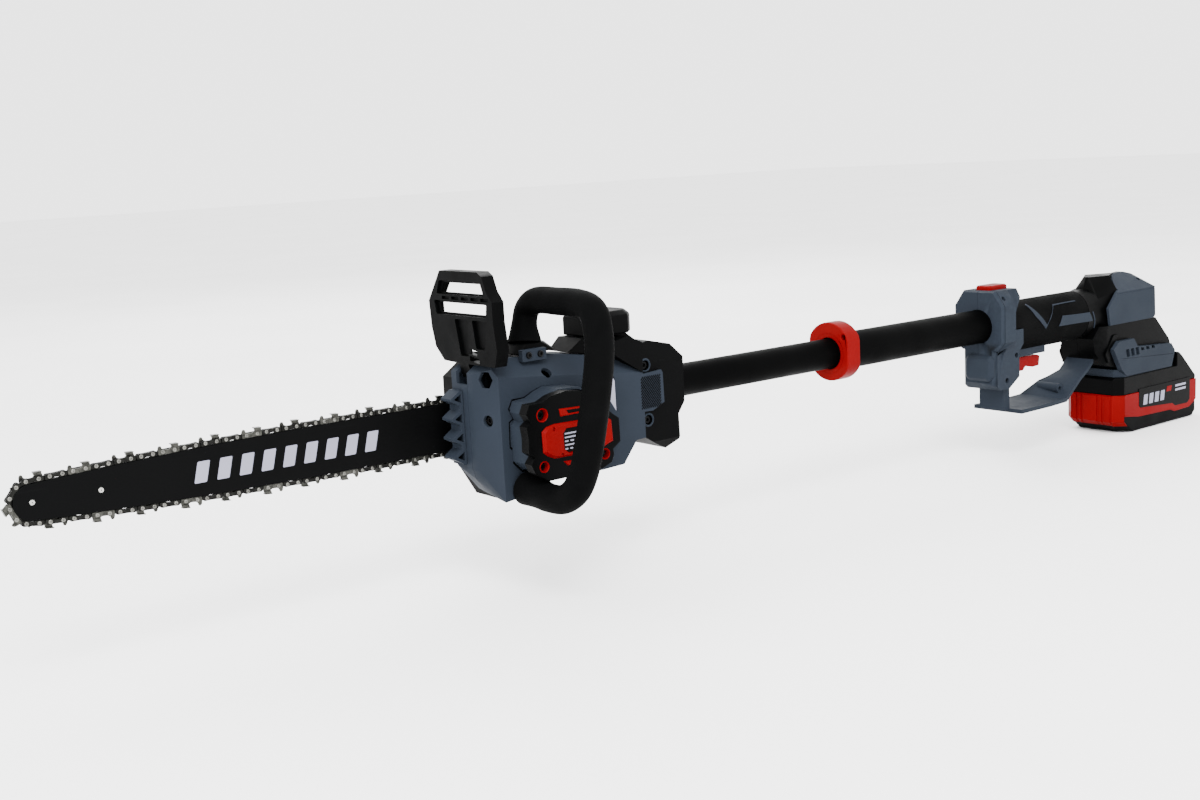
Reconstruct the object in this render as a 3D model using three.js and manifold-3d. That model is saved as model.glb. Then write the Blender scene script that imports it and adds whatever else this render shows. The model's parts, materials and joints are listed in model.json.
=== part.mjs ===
// Telescoping pole saw, battery driven. Millimetres, +Z up.
//
// The pole runs along X: the guide bar points to -X and the battery hangs below the +X end.
// -Y is the motor side of the saw head, +Y the bar side. The part's origin is the middle of the
// battery's flat base. Everything is laid out in the pole frame, whose X axis is the pole's own
// axis, and one group carries that frame to its place above the origin.
import * as THREE from 'three';
import { mergeVertices } from 'three/addons/utils/BufferGeometryUtils.js';
import { ConvexGeometry } from 'three/addons/geometries/ConvexGeometry.js';
import Module from 'manifold-3d';

const wasm = await Module();
wasm.setup();

// ---------------------------------------------------------------- driving dimensions
const GAP = 0.3; // between neighbouring solids
const WALL = 2.6; // moulded shells

const INNER_TUBE_RADIUS = 13;
const OUTER_TUBE_RADIUS = 16;
const TUBE_WALL = 1.5;
const INNER_TUBE_FRONT = -58;
const INNER_TUBE_REAR = 400;
const OUTER_TUBE_FRONT = 151;
const OUTER_TUBE_REAR = 516;

const COLLAR_FRONT = 150;
const COLLAR_LENGTH = 16;
const COLLAR_RADIUS = 25.5;
const COLLAR_FLAT = 22.5;

const BAR_Y = 30; // mid-plane of the bar and chain
const BAR_Z = -10; // centre line of the bar
const BAR_THICKNESS = 4.5;
const BAR_HALF_HEIGHT = 17.5;
const BAR_TAIL_X = -188;
const NOSE_X = -516; // centre of the nose sprocket
const NOSE_RADIUS = 11.5;
const CHAIN_WIDTH = 6.4;
const CHAIN_HEIGHT = 6;

const MOTOR_X = -165;
const MOTOR_Z = -12;
const SPROCKET_TEETH = 8;
const NOSE_TEETH = 11;

const HEAD_NEAR = -30; // Y of the head's near wall
const HEAD_FAR = 20;
const COWL_FACE = -51; // Y where the motor cowl meets its cover
const COVER_FACE = -60;
const CHAIN_COVER_FACE = 48;

const LOOP_RADIUS = 10.2;

const GRIP_HALF_WIDTH = 21.5;
const GRIP_HALF_HEIGHT = 24.75;
const GRIP_CENTRE_Z = -5.3;
const GRIP_FRONT = 376;
const GRIP_REAR = 504;

const HOUSING_FRONT = 355;
const REAR_BODY_HALF_WIDTH = 26;
const SHOULDER_REAR = 549;
const CAP_HALF_WIDTH = 27;
const VENT_FACE = 31.5;

const BATTERY_FRONT = 540;
const BATTERY_REAR = 687;
const BATTERY_HALF_WIDTH = 32.5;
const BATTERY_BASE = -130.5; // Z of the battery's flat base
const BASE_FRONT = 552;
const BASE_REAR = 682;
const TRAY_TOP = -112.3;
const BAND_TOP = -91;
const SHOE_BOTTOM = -72.5;
const CELL_RADIUS = 9.3;
const CELL_LENGTH = 63.2;

// ---------------------------------------------------------------- colours
const finish = (color, roughness, metalness = 0) =>
  new THREE.MeshStandardMaterial({ color, roughness, metalness });
const slate = finish(0x4a5663, 0.55);
const black = finish(0x17191a, 0.6);
const rubber = finish(0x1c1d1e, 0.85);
const red = finish(0xc81d1a, 0.4);
const tubeBlack = finish(0x121415, 0.35, 0.4);
const barBlack = finish(0x1a1b1c, 0.45, 0.3);
const steel = finish(0x8d8f90, 0.35, 0.9);
const copper = finish(0xa8643a, 0.4, 0.8);
const boardGreen = finish(0x1d5a36, 0.5);
const clearTank = finish(0xd8d4c6, 0.4);

// ---------------------------------------------------------------- solids
function toSolid(geometry) {
  const bare = geometry.clone();
  bare.deleteAttribute('normal');
  bare.deleteAttribute('uv');
  const merged = mergeVertices(bare, 1e-3);
  const vertProperties = Float32Array.from(merged.attributes.position.array);
  const triVerts = Uint32Array.from(merged.index.array);
  return new wasm.Manifold(new wasm.Mesh({ numProp: 3, vertProperties, triVerts }));
}

function toGeometry(solid) {
  const mesh = solid.getMesh();
  const geometry = new THREE.BufferGeometry();
  geometry.setAttribute('position', new THREE.BufferAttribute(mesh.vertProperties.slice(), 3));
  geometry.setIndex(new THREE.BufferAttribute(mesh.triVerts.slice(), 1));
  geometry.computeVertexNormals();
  return geometry;
}

const X = new THREE.Vector3(1, 0, 0);
const Y = new THREE.Vector3(0, 1, 0);
const Z = new THREE.Vector3(0, 0, 1);

// The plane that an outline is drawn in, by the axis that it is extruded along.
const PLANES = {
  x: new THREE.Matrix4().makeBasis(Y, Z, X), // outline [y, z]
  y: new THREE.Matrix4().makeBasis(X, Z, Y.clone().negate()), // outline [x, z]
  z: new THREE.Matrix4(), // outline [x, y]
};

function toShape(outline) {
  return new THREE.Shape(outline.map(([a, b]) => new THREE.Vector2(a, b)));
}

// An outline extruded along an axis between two places on it.
function prism(axis, outline, low, high) {
  const geometry = new THREE.ExtrudeGeometry(toShape(outline), {
    depth: high - low,
    bevelEnabled: false,
  });
  geometry.applyMatrix4(PLANES[axis]);
  const start = axis === 'y' ? high : low;
  const along = { x: [start, 0, 0], y: [0, start, 0], z: [0, 0, start] }[axis];
  geometry.translate(...along);
  return toSolid(geometry);
}

function box(x0, x1, y0, y1, z0, z1) {
  const geometry = new THREE.BoxGeometry(x1 - x0, y1 - y0, z1 - z0);
  geometry.translate((x0 + x1) / 2, (y0 + y1) / 2, (z0 + z1) / 2);
  return toSolid(geometry);
}

function hull(points) {
  return toSolid(new ConvexGeometry(points.map((p) => new THREE.Vector3(...p))));
}

function circle(radius, sides, a = 0, b = 0, turn = 0) {
  return Array.from({ length: sides }, (_, i) => {
    const angle = turn + (i / sides) * 2 * Math.PI;
    return [a + radius * Math.cos(angle), b + radius * Math.sin(angle)];
  });
}

function oval(halfA, halfB, sides) {
  return circle(1, sides).map(([a, b]) => [a * halfA, b * halfB]);
}

// A star-shaped sprocket outline with a pointed tooth between two roots.
function toothed(teeth, tip, root) {
  return Array.from({ length: teeth * 4 }, (_, i) => {
    const angle = ((i - 0.5) / (teeth * 4)) * 2 * Math.PI;
    const radius = i % 4 < 2 ? tip : root;
    return [radius * Math.cos(angle), radius * Math.sin(angle)];
  });
}

// An outline whose every edge moves inwards by a distance. The outline runs anticlockwise.
function inset(outline, distance) {
  const count = outline.length;
  const area = outline.reduce((sum, [a, b], i) => {
    const [c, d] = outline[(i + 1) % count];
    return sum + a * d - c * b;
  }, 0);
  const side = Math.sign(area);
  return outline.map(([a, b], i) => {
    const [pa, pb] = outline[(i + count - 1) % count];
    const [na, nb] = outline[(i + 1) % count];
    const before = new THREE.Vector2(a - pa, b - pb).normalize();
    const after = new THREE.Vector2(na - a, nb - b).normalize();
    const normal = new THREE.Vector2(-before.y - after.y, before.x + after.x).normalize();
    const lean = -before.y * normal.x + before.x * normal.y;
    const reach = (side * distance) / Math.max(lean, 0.4);
    return [a + normal.x * reach, b + normal.y * reach];
  });
}

// Corner cuts of one length all round a rectangle.
function chamfered(a0, a1, b0, b1, cut) {
  return [
    [a0 + cut, b0], [a1 - cut, b0], [a1, b0 + cut], [a1, b1 - cut],
    [a1 - cut, b1], [a0 + cut, b1], [a0, b1 - cut], [a0, b0 + cut],
  ];
}

function sweep(points, radius, sides, steps) {
  const path = new THREE.CatmullRomCurve3(points.map((p) => new THREE.Vector3(...p)));
  const section = toShape(circle(radius, sides));
  return toSolid(new THREE.ExtrudeGeometry(section, { steps, extrudePath: path, bevelEnabled: false }));
}

class Coil extends THREE.Curve {
  constructor(radius, height, turns) {
    super();
    Object.assign(this, { radius, height, turns });
  }

  getPoint(t, target = new THREE.Vector3()) {
    const angle = t * this.turns * 2 * Math.PI;
    return target.set(this.radius * Math.cos(angle), this.radius * Math.sin(angle), t * this.height);
  }
}

function coilSpring(radius, wire, height, turns) {
  const section = toShape(circle(wire / 2, 5));
  const path = new Coil(radius, height, turns);
  return new THREE.ExtrudeGeometry(section, { steps: turns * 8, extrudePath: path, bevelEnabled: false });
}

// ---------------------------------------------------------------- scene graph
const saw = new THREE.Group();
const pole = new THREE.Group();
pole.position.set(-(BASE_FRONT + BASE_REAR) / 2, 0, -BATTERY_BASE);
saw.add(pole);

function add(name, solid, material, position = [0, 0, 0], rotation = [0, 0, 0]) {
  const geometry = solid instanceof THREE.BufferGeometry ? solid : toGeometry(solid);
  const mesh = new THREE.Mesh(geometry, material);
  mesh.name = name;
  mesh.position.set(...position);
  mesh.rotation.set(...rotation);
  pole.add(mesh);
}

// A moulding is made as two shells that meet on the plane Y = 0.
function addShells(name, solid, material) {
  const reach = 400;
  add(`${name}_near`, solid.subtract(box(-900, 900, -GAP / 2, reach, -reach, reach)), material);
  add(`${name}_far`, solid.subtract(box(-900, 900, -reach, GAP / 2, -reach, reach)), material);
}

// ---------------------------------------------------------------- bar, chain and sprockets
// Half height of the bar at a place along it: a long bow that narrows to the nose.
function barHalfHeight(x) {
  const shoulder = -300;
  const along = THREE.MathUtils.clamp((shoulder - x) / (shoulder - NOSE_X), 0, 1);
  return BAR_HALF_HEIGHT - (BAR_HALF_HEIGHT - NOSE_RADIUS) * along * along;
}

// The bar's outline, grown by an amount, with a round nose and, for the chain, a round tail.
function barOutline(grow, roundTail) {
  const top = [];
  const steps = 14;
  for (let i = 0; i <= steps; i += 1) {
    const x = THREE.MathUtils.lerp(BAR_TAIL_X, NOSE_X, i / steps);
    top.push([x, barHalfHeight(x) + grow]);
  }
  const nose = circle(NOSE_RADIUS + grow, 24).filter(([a]) => a < -0.5);
  nose.sort((p, q) => q[1] - p[1]);
  const bottom = top.map(([x, z]) => [x, -z]).reverse();
  const outline = [...top, ...nose.map(([a, b]) => [NOSE_X + a, b]), ...bottom];
  if (roundTail) {
    const tail = circle(16.3 + grow, 24).filter(([a]) => a > 0.5);
    tail.sort((p, q) => p[1] - q[1]);
    outline.push(...tail.map(([a, b]) => [MOTOR_X + a, b - (BAR_Z - MOTOR_Z)]));
  }
  return outline.map(([x, z]) => [x, z + BAR_Z]);
}

function buildCutting() {
  const half = BAR_THICKNESS / 2;
  const slot = chamfered(-217, -191.5, BAR_Z - 4.4, BAR_Z + 4.4, 3);
  const noseSlot = prism('y', circle(16, 24, NOSE_X, BAR_Z), BAR_Y - 0.9, BAR_Y + 0.9);
  const noseRivet = prism('y', circle(2.2, 12, NOSE_X, BAR_Z), BAR_Y - half, BAR_Y + half);
  const bar = prism('y', barOutline(0, false), BAR_Y - half, BAR_Y + half)
    .subtract(prism('y', slot, BAR_Y - 5, BAR_Y + 5))
    .subtract(noseSlot)
    .add(noseRivet);
  add('guide_bar', bar, barBlack);

  const reach = CHAIN_WIDTH / 2;
  const chain = prism('y', barOutline(CHAIN_HEIGHT, true), BAR_Y - reach, BAR_Y + reach)
    .subtract(prism('y', barOutline(GAP, true), BAR_Y - 9, BAR_Y + 9));
  add('saw_chain', chain, steel);

  const nose = prism('y', toothed(NOSE_TEETH, 10.6, 8.2), -0.6, 0.6)
    .subtract(prism('y', circle(2.6, 12), -2, 2));
  add('nose_sprocket', nose, steel, [NOSE_X, BAR_Y, BAR_Z]);
  const drive = prism('y', toothed(SPROCKET_TEETH, 15.4, 11.5), -2.6, 2.6)
    .subtract(prism('y', circle(4.3, 16), -5, 5));
  add('drive_sprocket', drive, steel, [MOTOR_X, BAR_Y, MOTOR_Z]);

  for (const [name, x] of [['front', -211], ['rear', -198]]) {
    const turn = [-Math.PI / 2, 0, 0];
    const stud = new THREE.CylinderGeometry(3.6, 3.6, 44, 16);
    add(`bar_stud_${name}`, stud, steel, [x, 34, BAR_Z]);
    const ring = prism('z', circle(6, 6), 0, 5).subtract(prism('z', circle(3.9, 16), -1, 6));
    add(`bar_nut_${name}`, ring, steel, [x, CHAIN_COVER_FACE + GAP, BAR_Z], turn);
  }
}

// ---------------------------------------------------------------- saw head
const TONGUE = [[-90, 15], [-90, -13], [-73.6, -13.4], [-62.2, -8.3], [-62.7, 14.3], [-64, 16.8]];
const HEAD_OUTLINE = [
  [-219, -37], [-212, -59], [-200, -57.5], [-180, -48.5], [-165, -49], [-124, -50.5], [-104, -49.7],
  [-91, -33.4], [-82, -33], [-82, 27], [-96, 30], [-160, 40], [-206, 41.5], [-219, 32],
];

// The head's block: its side view, a plan view with the slanted front corner, and a section whose
// upper corners slope. The section leans down to the rear with the head's top.
// The slanted facet under the head's front.
const CHIN_NORMAL = [0.765, -0.167, 0.622];
const CHIN_PLACE = -193.9;

function headBlock(shrink) {
  const side = prism('y', inset(HEAD_OUTLINE, shrink), HEAD_NEAR + shrink, HEAD_FAR - shrink);
  const near = HEAD_NEAR + shrink;
  const front = -219 + shrink;
  const plan = prism('z', [
    [front, 40], [front, -8], [front + 7, near], [-60, near], [-60, 40],
  ], -90, 60);
  const section = new THREE.ExtrudeGeometry(
    toShape([[near, -90], [60, -90], [20 - shrink, 30 - shrink], [12, 47 - shrink],
      [-15, 42 - shrink], [near, 27 - shrink]]),
    { depth: 200, bevelEnabled: false },
  );
  section.applyMatrix4(PLANES.x);
  section.translate(-240, 0, 0);
  section.applyMatrix4(new THREE.Matrix4().makeShear(0, -0.1, 0, 0, 0, 0));
  section.translate(0, 0, -18);
  return side.intersect(plan).intersect(toSolid(section)).trimByPlane(CHIN_NORMAL, CHIN_PLACE + shrink);
}

const COWL_OUTLINE = [
  [-204, -22.6], [-204, -30.4], [-198.7, -35.4], [-187, -42.5], [-150, -47], [-134, -42],
  [-124, -30], [-124, -6], [-136, 12.6], [-150, 14], [-158, 18.5], [-176, 19.5], [-184, 16.8],
  [-191.4, 13.2], [-202, 12.5], [-204.4, 5], [-201, -1.5], [-204.6, -5],
];
const COVER_OUTLINE = [
  [-211, 7], [-207.4, 1], [-211.2, -1.8], [-210, -10.7], [-210.5, -20], [-205.4, -23.8],
  [-208.9, -28.5], [-206.2, -34.8], [-194.7, -42.2], [-178.8, -42.1], [-147, -41], [-139, -38],
  [-136.6, -32.4], [-137.4, -28.6], [-130.3, -24], [-130.7, -7], [-136.5, -3], [-150, 10],
  [-163, 17], [-176.6, 19], [-189, 17], [-197, 13.4], [-208, 13.3],
];
const TRIM_OUTLINE = [
  [-199.2, -6.7], [-198.9, -21.4], [-195.5, -24.3], [-189.3, -27.1], [-160, -27.4], [-144.9, -25.3],
  [-137.2, -22.6], [-138.1, -7.3], [-141.7, -4.9], [-168, -2.9], [-188.2, -2.5], [-195.4, -3.7],
];
const LABEL_OUTLINE = [
  [-182.3, -9.9], [-182, -21.2], [-178, -24.5], [-152, -24], [-148, -20], [-148, -10], [-151, -7],
  [-179.5, -6.8],
];

function buildHead() {
  const motorHole = prism('y', circle(29.5, 32, MOTOR_X, MOTOR_Z), -40, -10);
  const shaftHole = prism('y', circle(12.5, 24, MOTOR_X, MOTOR_Z), 10, 30);
  let shells = headBlock(0)
    .subtract(headBlock(WALL))
    .subtract(motorHole)
    .subtract(shaftHole);
  for (const x of [-211, -198]) {
    shells = shells.subtract(prism('y', circle(4, 16, x, BAR_Z), 0, 30));
  }
  const [low, high] = ARM_SIDES;
  const [pivotX, pivotZ] = GUARD_PIVOT;
  shells = shells
    .subtract(box(-230, -201, low - 1, high + 1, 23.5, 60))
    .subtract(prism('y', circle(2.5, 12, pivotX, pivotZ), PIN_NEAR - GAP, PIN_FAR + GAP))
    .add(prism('y', TONGUE, HEAD_NEAR, SOCKET_NEAR - GAP));
  addShells('head_shell', shells, slate);

  const cowl = prism('y', COWL_OUTLINE, COWL_FACE, HEAD_NEAR - GAP)
    .subtract(prism('y', circle(29.5, 32, MOTOR_X, MOTOR_Z), -70, 0));
  add('motor_cowl', cowl, slate);
  const cover = prism('y', COVER_OUTLINE, COVER_FACE, COWL_FACE - GAP)
    .subtract(prism('y', circle(27, 32, MOTOR_X, MOTOR_Z), COVER_FACE + WALL, 0));
  add('motor_cover', cover, black);
  const trim = prism('y', TRIM_OUTLINE, COVER_FACE - 1.6, COVER_FACE - GAP)
    .subtract(prism('y', LABEL_OUTLINE, COVER_FACE - 5, COVER_FACE + 1));
  add('motor_cover_frame', trim, red);

  // Cover over the chain drive, open towards the head and at the front for bar and chain.
  const outline = [
    [-201.7, -43], [-187, -68], [-150, -62], [-112, -44], [-100, -14], [-104, 20], [-122, 33],
    [-160, 38], [-192, 36.5], [-209.3, 24.5], [-209.5, 10.5],
  ];
  const nutPlate = [[-221, -22], [-221, 0], [-206, 8], [-190, 8], [-190, -40], [-201, -40]];
  let chainCover = prism('y', outline, HEAD_FAR + GAP, CHAIN_COVER_FACE)
    .subtract(prism('y', inset(outline, 3), 0, CHAIN_COVER_FACE - 3))
    .subtract(box(-240, -195, 0, 36, BAR_Z - 27, BAR_Z + 27))
    .add(prism('y', nutPlate, CHAIN_COVER_FACE - 6, CHAIN_COVER_FACE));
  for (const x of [-211, -198]) {
    chainCover = chainCover.subtract(prism('y', circle(4, 16, x, BAR_Z), 30, 60));
  }
  add('chain_cover', chainCover, black);
}

// Hollow three-sided spikes on one strip, open towards the motor side.
const SPIKE_HEIGHTS = [13, -1.3, -15.5, -29];

function buildSpikes() {
  const [near, far] = [6, 19.6];
  let spikes = box(-222.5, -219 - GAP, near, far, -35, 19);
  for (const z of SPIKE_HEIGHTS) {
    const outline = [[-222, z - 5], [-229.5, z - 0.8], [-229.5, z + 0.8], [-222, z + 6]];
    const hollow = [[-220.8, z - 2.9], [-226.5, z - 0.1], [-226.5, z + 0.4], [-220.8, z + 3.7]];
    spikes = spikes.add(prism('y', outline, near, far)).subtract(prism('y', hollow, near - 1, far - 2));
  }
  add('bumper_spikes', spikes, slate);
}

const LOOP_PATH = [
  [-172.1, -7, 47.5], [-170.2, -5.5, 62], [-168.5, -8, 73], [-168, -20, 79.5], [-168, -45, 80],
  [-168, -70, 79.5], [-169, -86, 75], [-172, -95, 62], [-175, -98.5, 45], [-178.5, -98.8, 26],
  [-182, -98.3, 8], [-186, -97, -12], [-190, -95, -30], [-193, -89, -44], [-194.5, -76, -52.5],
  [-195, -60, -54], [-194.5, -46, -52.5], [-194, -32.4, -51],
];

const FOOT_TOP = 49.5;

function buildLoop() {
  const footSpace = box(-195, -150, -25, 15, 30, FOOT_TOP + GAP);
  add('front_handle', sweep(LOOP_PATH, LOOP_RADIUS, 12, 44).subtract(footSpace), rubber);
  const foot = hull([
    ...chamfered(-190, -152, -20, 8, 4).map(([x, y]) => [x, y, 42.4]),
    ...chamfered(-183, -160, -18, 6, 5).map(([x, y]) => [x, y, FOOT_TOP]),
  ]);
  add('handle_foot', foot, black);
  const clamp = box(-187, -166, -25, -20.3, 37.5, 46).subtract(headBlock(-GAP));
  add('handle_clamp_plate', clamp, slate);
}

// The hand guard is a shallow tray on one arm, which turns on a pin inside the head.
const GUARD = { front: -218, rear: -208, wall: 4 };
const GUARD_PIVOT = [-210, 31]; // X and Z
const ARM_SIDES = [0.5, 12.5]; // Y of the arm's two faces
const PIN_NEAR = -6;
const PIN_FAR = 17;
const GUARD_OUTLINE = [
  [14, 38.5], [29.5, 39], [40, 48.6], [44, 63], [45.4, 81.8], [28.5, 104], [-20.5, 104], [-26, 101],
  [-30.5, 90.5], [-37, 83.5], [-37, 70], [-40, 50], [-36, 38.5],
];
const GUARD_SLOTS = [
  [[27, 95.5], [-20, 95.5], [-23, 88.5], [31, 88.5]],
  [[35.8, 81.2], [-28, 81.2], [-26.5, 74], [33, 74]],
  [[-6, 48.2], [-12.5, 47.2], [-12.5, 45.6], [-6, 46.6]],
  [[-7.5, 43.8], [-15.5, 42.4], [-15.5, 40.8], [-7.5, 42.2]],
];

function buildGuard() {
  const { front, rear, wall } = GUARD;
  const skin = front + 3.5;
  const [low, high] = ARM_SIDES;
  const plate = prism('x', GUARD_OUTLINE, front, rear)
    .subtract(prism('x', inset(GUARD_OUTLINE, wall), skin, rear + 1));
  const [pivotX, pivotZ] = GUARD_PIVOT;
  const arm = hull([
    ...[low, high].flatMap((y) => [[front, y, 46], [rear, y, 46]]),
    ...circle(4.6, 12, pivotX, pivotZ).flatMap(([x, z]) => [[x, low, z], [x, high, z]]),
  ]);
  let guard = plate.subtract(headBlock(-1)).add(arm);
  for (const slot of GUARD_SLOTS) {
    guard = guard.subtract(prism('x', slot, front - 1, rear + 1));
  }
  guard = guard.subtract(prism('y', circle(2.4, 12, pivotX, pivotZ), -60, 60));
  add('hand_guard', guard, black);
  add('guard_pivot_pin', new THREE.CylinderGeometry(2, 2, PIN_FAR - PIN_NEAR, 12), steel,
    [pivotX, (PIN_NEAR + PIN_FAR) / 2, pivotZ]);
}

function buildMotor() {
  const stator = prism('y', circle(28.5, 32), -48, -12).subtract(prism('y', circle(16, 32), -60, 0));
  add('motor_stator', stator, copper, [MOTOR_X, 0, MOTOR_Z]);
  const rotor = prism('y', circle(15.4, 24), -46, -14).add(prism('y', circle(4, 16), -56, 36));
  add('motor_rotor', rotor, steel, [MOTOR_X, 0, MOTOR_Z]);
  for (const [name, y] of [['near', -56], ['far', 9]]) {
    const ring = prism('y', circle(11, 24), y, y + 6).subtract(prism('y', circle(4.3, 16), -70, 40));
    add(`motor_bearing_${name}`, ring, steel, [MOTOR_X, 0, MOTOR_Z]);
  }
  add('brake_switch', box(-199, -188, -8, 4, 24, 34), black);
}

function buildOil() {
  const tank = hull([
    ...chamfered(-132, -92, -22, 14, 4).map(([x, y]) => [x, y, -44]),
    ...chamfered(-132, -92, -22, 14, 4).map(([x, y]) => [x, y, 20]),
  ]).subtract(box(-130, -94, -20, 12, -42, 18)).subtract(prism('z', circle(7, 16, -105, -2), 15, 30));
  const inside = headBlock(WALL + GAP);
  add('oil_tank', tank.intersect(inside), clearTank);
  add('oil_pump', prism('y', circle(7, 16, -142, -34), 2, 15).intersect(inside), steel);

  // Cowl on the head's top, with the tank's neck through it, running down to the pole socket.
  const arm = prism('y', [[-112, 43], [-108.5, 33], [-83, 17], [-82.3, 40], [-96, 46]], -31.2, -10);
  const cowl = hull([
    [-140, -15, 38], [-140, 9, 38], [-128, -17, 47], [-128, 12, 47],
    [-86, -17, 46.5], [-86, 12, 46.5], [-70, -15, 36], [-70, 11, 36], [-84, -15, 28], [-84, 11, 28],
  ]).add(arm)
    .subtract(headBlock(-GAP))
    .subtract(socketBlock(GAP))
    .subtract(prism('z', circle(9, 20, -102, -2), 20, 60));
  add('top_cowl', cowl, black);
  const knob = hull([
    ...chamfered(-124, -80, -24, 20, 9).map(([x, y]) => [x, y, 47.5]),
    ...chamfered(-124, -80, -24, 20, 9).map(([x, y]) => [x, y, 61]),
    ...chamfered(-120, -84, -20, 16, 8).map(([x, y]) => [x, y, 65]),
  ]).add(prism('z', circle(8, 20, -102, -2), 36, 50));
  add('oil_cap', knob, black);
}

// The socket that holds the inner tube closes the head's rear. The head's near wall has a tongue
// over it, and an arm of the top cowl runs down to it.
const SOCKET_NEAR = -27.7;
const SOCKET_SIDE = [
  [-81.6, -33], [-70, -40], [-57, -46], [-46, -40], [-46.5, -20], [-40, -11], [-40, 24], [-47, 34],
  [-66, 38.5], [-81.6, 36],
];
const SOCKET_SECTION = [
  [SOCKET_NEAR, -38], [SOCKET_NEAR, 24], [-17, 40], [17, 40], [28, 24], [28, -38], [18, -50],
  [-20, -50],
];

function socketBlock(grow) {
  return prism('y', inset(SOCKET_SIDE, -grow), -40, 40)
    .intersect(prism('x', inset(SOCKET_SECTION, -grow), -100, 0));
}

function buildSocket() {
  const bore = prism('x', circle(INNER_TUBE_RADIUS + GAP, 32), -100, 0);
  add('pole_socket', socketBlock(0).subtract(bore), black);
}

function tube(radius, wall, front, rear) {
  return prism('x', circle(radius, 32), front, rear)
    .subtract(prism('x', circle(radius - wall, 32), front - 1, rear + 1));
}

function buildPole() {
  add('inner_tube', tube(INNER_TUBE_RADIUS, TUBE_WALL, INNER_TUBE_FRONT, INNER_TUBE_REAR), tubeBlack);
  add('outer_tube', tube(OUTER_TUBE_RADIUS, TUBE_WALL, OUTER_TUBE_FRONT, OUTER_TUBE_REAR), tubeBlack);
  const bush = OUTER_TUBE_RADIUS - TUBE_WALL - GAP;
  add('slide_bush', tube(bush, bush - INNER_TUBE_RADIUS - GAP, OUTER_TUBE_FRONT + 2, 196), black);
  add('pole_lead', new THREE.CylinderGeometry(6, 6, 140, 12), rubber, [436, 0, 0], [0, 0, Math.PI / 2]);

  const ring = circle(COLLAR_RADIUS, 32, 0, 1.5).map(([y, z]) => [
    THREE.MathUtils.clamp(y, -COLLAR_FLAT, COLLAR_FLAT), z,
  ]);
  const collar = prism('x', ring, COLLAR_FRONT, COLLAR_FRONT + COLLAR_LENGTH)
    .subtract(prism('x', circle(OUTER_TUBE_RADIUS + GAP, 32), 100, 200));
  add('clamp_collar', collar, red);
}

// ---------------------------------------------------------------- rear handle
function gripOval(grow) {
  return oval(GRIP_HALF_WIDTH + grow, GRIP_HALF_HEIGHT + grow, 28).map(([y, z]) => [y, z + GRIP_CENTRE_Z]);
}

const HOUSING_SECTION = [ // Y and Z of the eight-sided front block
  [-20, -23], [20, -23], [28, -14.5], [28, 20], [18, 34], [-18, 34], [-28, 20], [-28, -14.5],
];

function buildTriggerHousing() {
  const upper = hull([
    ...inset(HOUSING_SECTION, 1.5).map(([y, z]) => [HOUSING_FRONT, y, z]),
    ...HOUSING_SECTION.map(([y, z]) => [HOUSING_FRONT + 3, y, z]),
    ...HOUSING_SECTION.map(([y, z]) => [GRIP_FRONT - GAP, y, z]),
  ]);
  const lower = prism('y', [
    [HOUSING_FRONT, -54], [363, -61], [377, -61], [393, -51], [393, -8], [HOUSING_FRONT, -8],
  ], -19, 19).intersect(prism('z', [
    [HOUSING_FRONT, -15.5], [359, -19], [400, -19], [400, 19], [359, 19], [HOUSING_FRONT, 15.5],
  ], -70, 0));
  const cheek = prism('x', [[-23, -5], [-23, -19], [-19, -26], [19, -26], [23, -19], [23, -5]], 370, 394);
  const ledge = prism('y', [[370, 0], [384, 0], [396, 25], [390, 34], [370, 34]], -18, 18)
    .subtract(prism('x', gripOval(GAP), GRIP_FRONT - GAP, 420));
  const housing = upper.add(lower).add(cheek).add(ledge)
    .subtract(prism('x', circle(OUTER_TUBE_RADIUS + GAP, 32), 300, 500))
    .subtract(prism('y', [[360, -50], [366, -56], [378, -56], [388, -48], [388, -24], [360, -24]], -13, 13))
    .subtract(box(386, 396, -5, 5, -44, -30))
    .subtract(box(374.5, 384.5, -5, 5, 10, 30))
    .subtract(box(361.7, 390.3, -9, 9, 24.8, 60));
  addShells('trigger_housing', housing, slate);

  add('lock_button', hull([
    ...chamfered(362, 390, -8.6, 8.6, 2).map(([x, y]) => [x, y, 29]),
    ...chamfered(362, 390, -8.6, 8.6, 2).map(([x, y]) => [x, y, 37]),
    ...chamfered(363, 389, -7.6, 7.6, 2).map(([x, y]) => [x, y, 38.2]),
  ]), red);
  add('lock_spring', coilSpring(3.2, 0.8, 7.2, 4), steel, [379.5, 0, 20.8]);
}

const TRIGGER_PIVOT = [404, -31.5]; // X and Z
const TRIGGER_OUTLINE = [
  [400.6, -32], [407.4, -32], [409, -36], [438, -36.5], [442.5, -38], [441, -47.5], [431, -48],
  [420, -45.5], [415.5, -49.5], [405, -49.5], [401, -46],
];

function buildTrigger() {
  const bezel = box(394.5, 446, -10, 10, -34.5, -14)
    .subtract(prism('x', gripOval(GAP), 300, 600))
    .subtract(box(398, 444, -8, 8, -45, -10))
    .subtract(prism('y', circle(1.7, 12, ...TRIGGER_PIVOT), -20, 20));
  add('trigger_bezel', bezel, slate);
  const trigger = prism('y', TRIGGER_OUTLINE, -6.4, 6.4)
    .add(prism('y', circle(3.4, 12, ...TRIGGER_PIVOT), -6.4, 6.4))
    .subtract(prism('y', circle(1.8, 12, ...TRIGGER_PIVOT), -20, 20));
  add('trigger', trigger, red);
  add('trigger_pin', new THREE.CylinderGeometry(1.4, 1.4, 19, 12), steel,
    [TRIGGER_PIVOT[0], 0, TRIGGER_PIVOT[1]]);
  add('trigger_spring', coilSpring(2.4, 0.7, 7, 4), steel, [430, 0, -34.8]);
  add('trigger_switch', box(364, 386, -7, 7, -46, -27), black);
}

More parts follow.
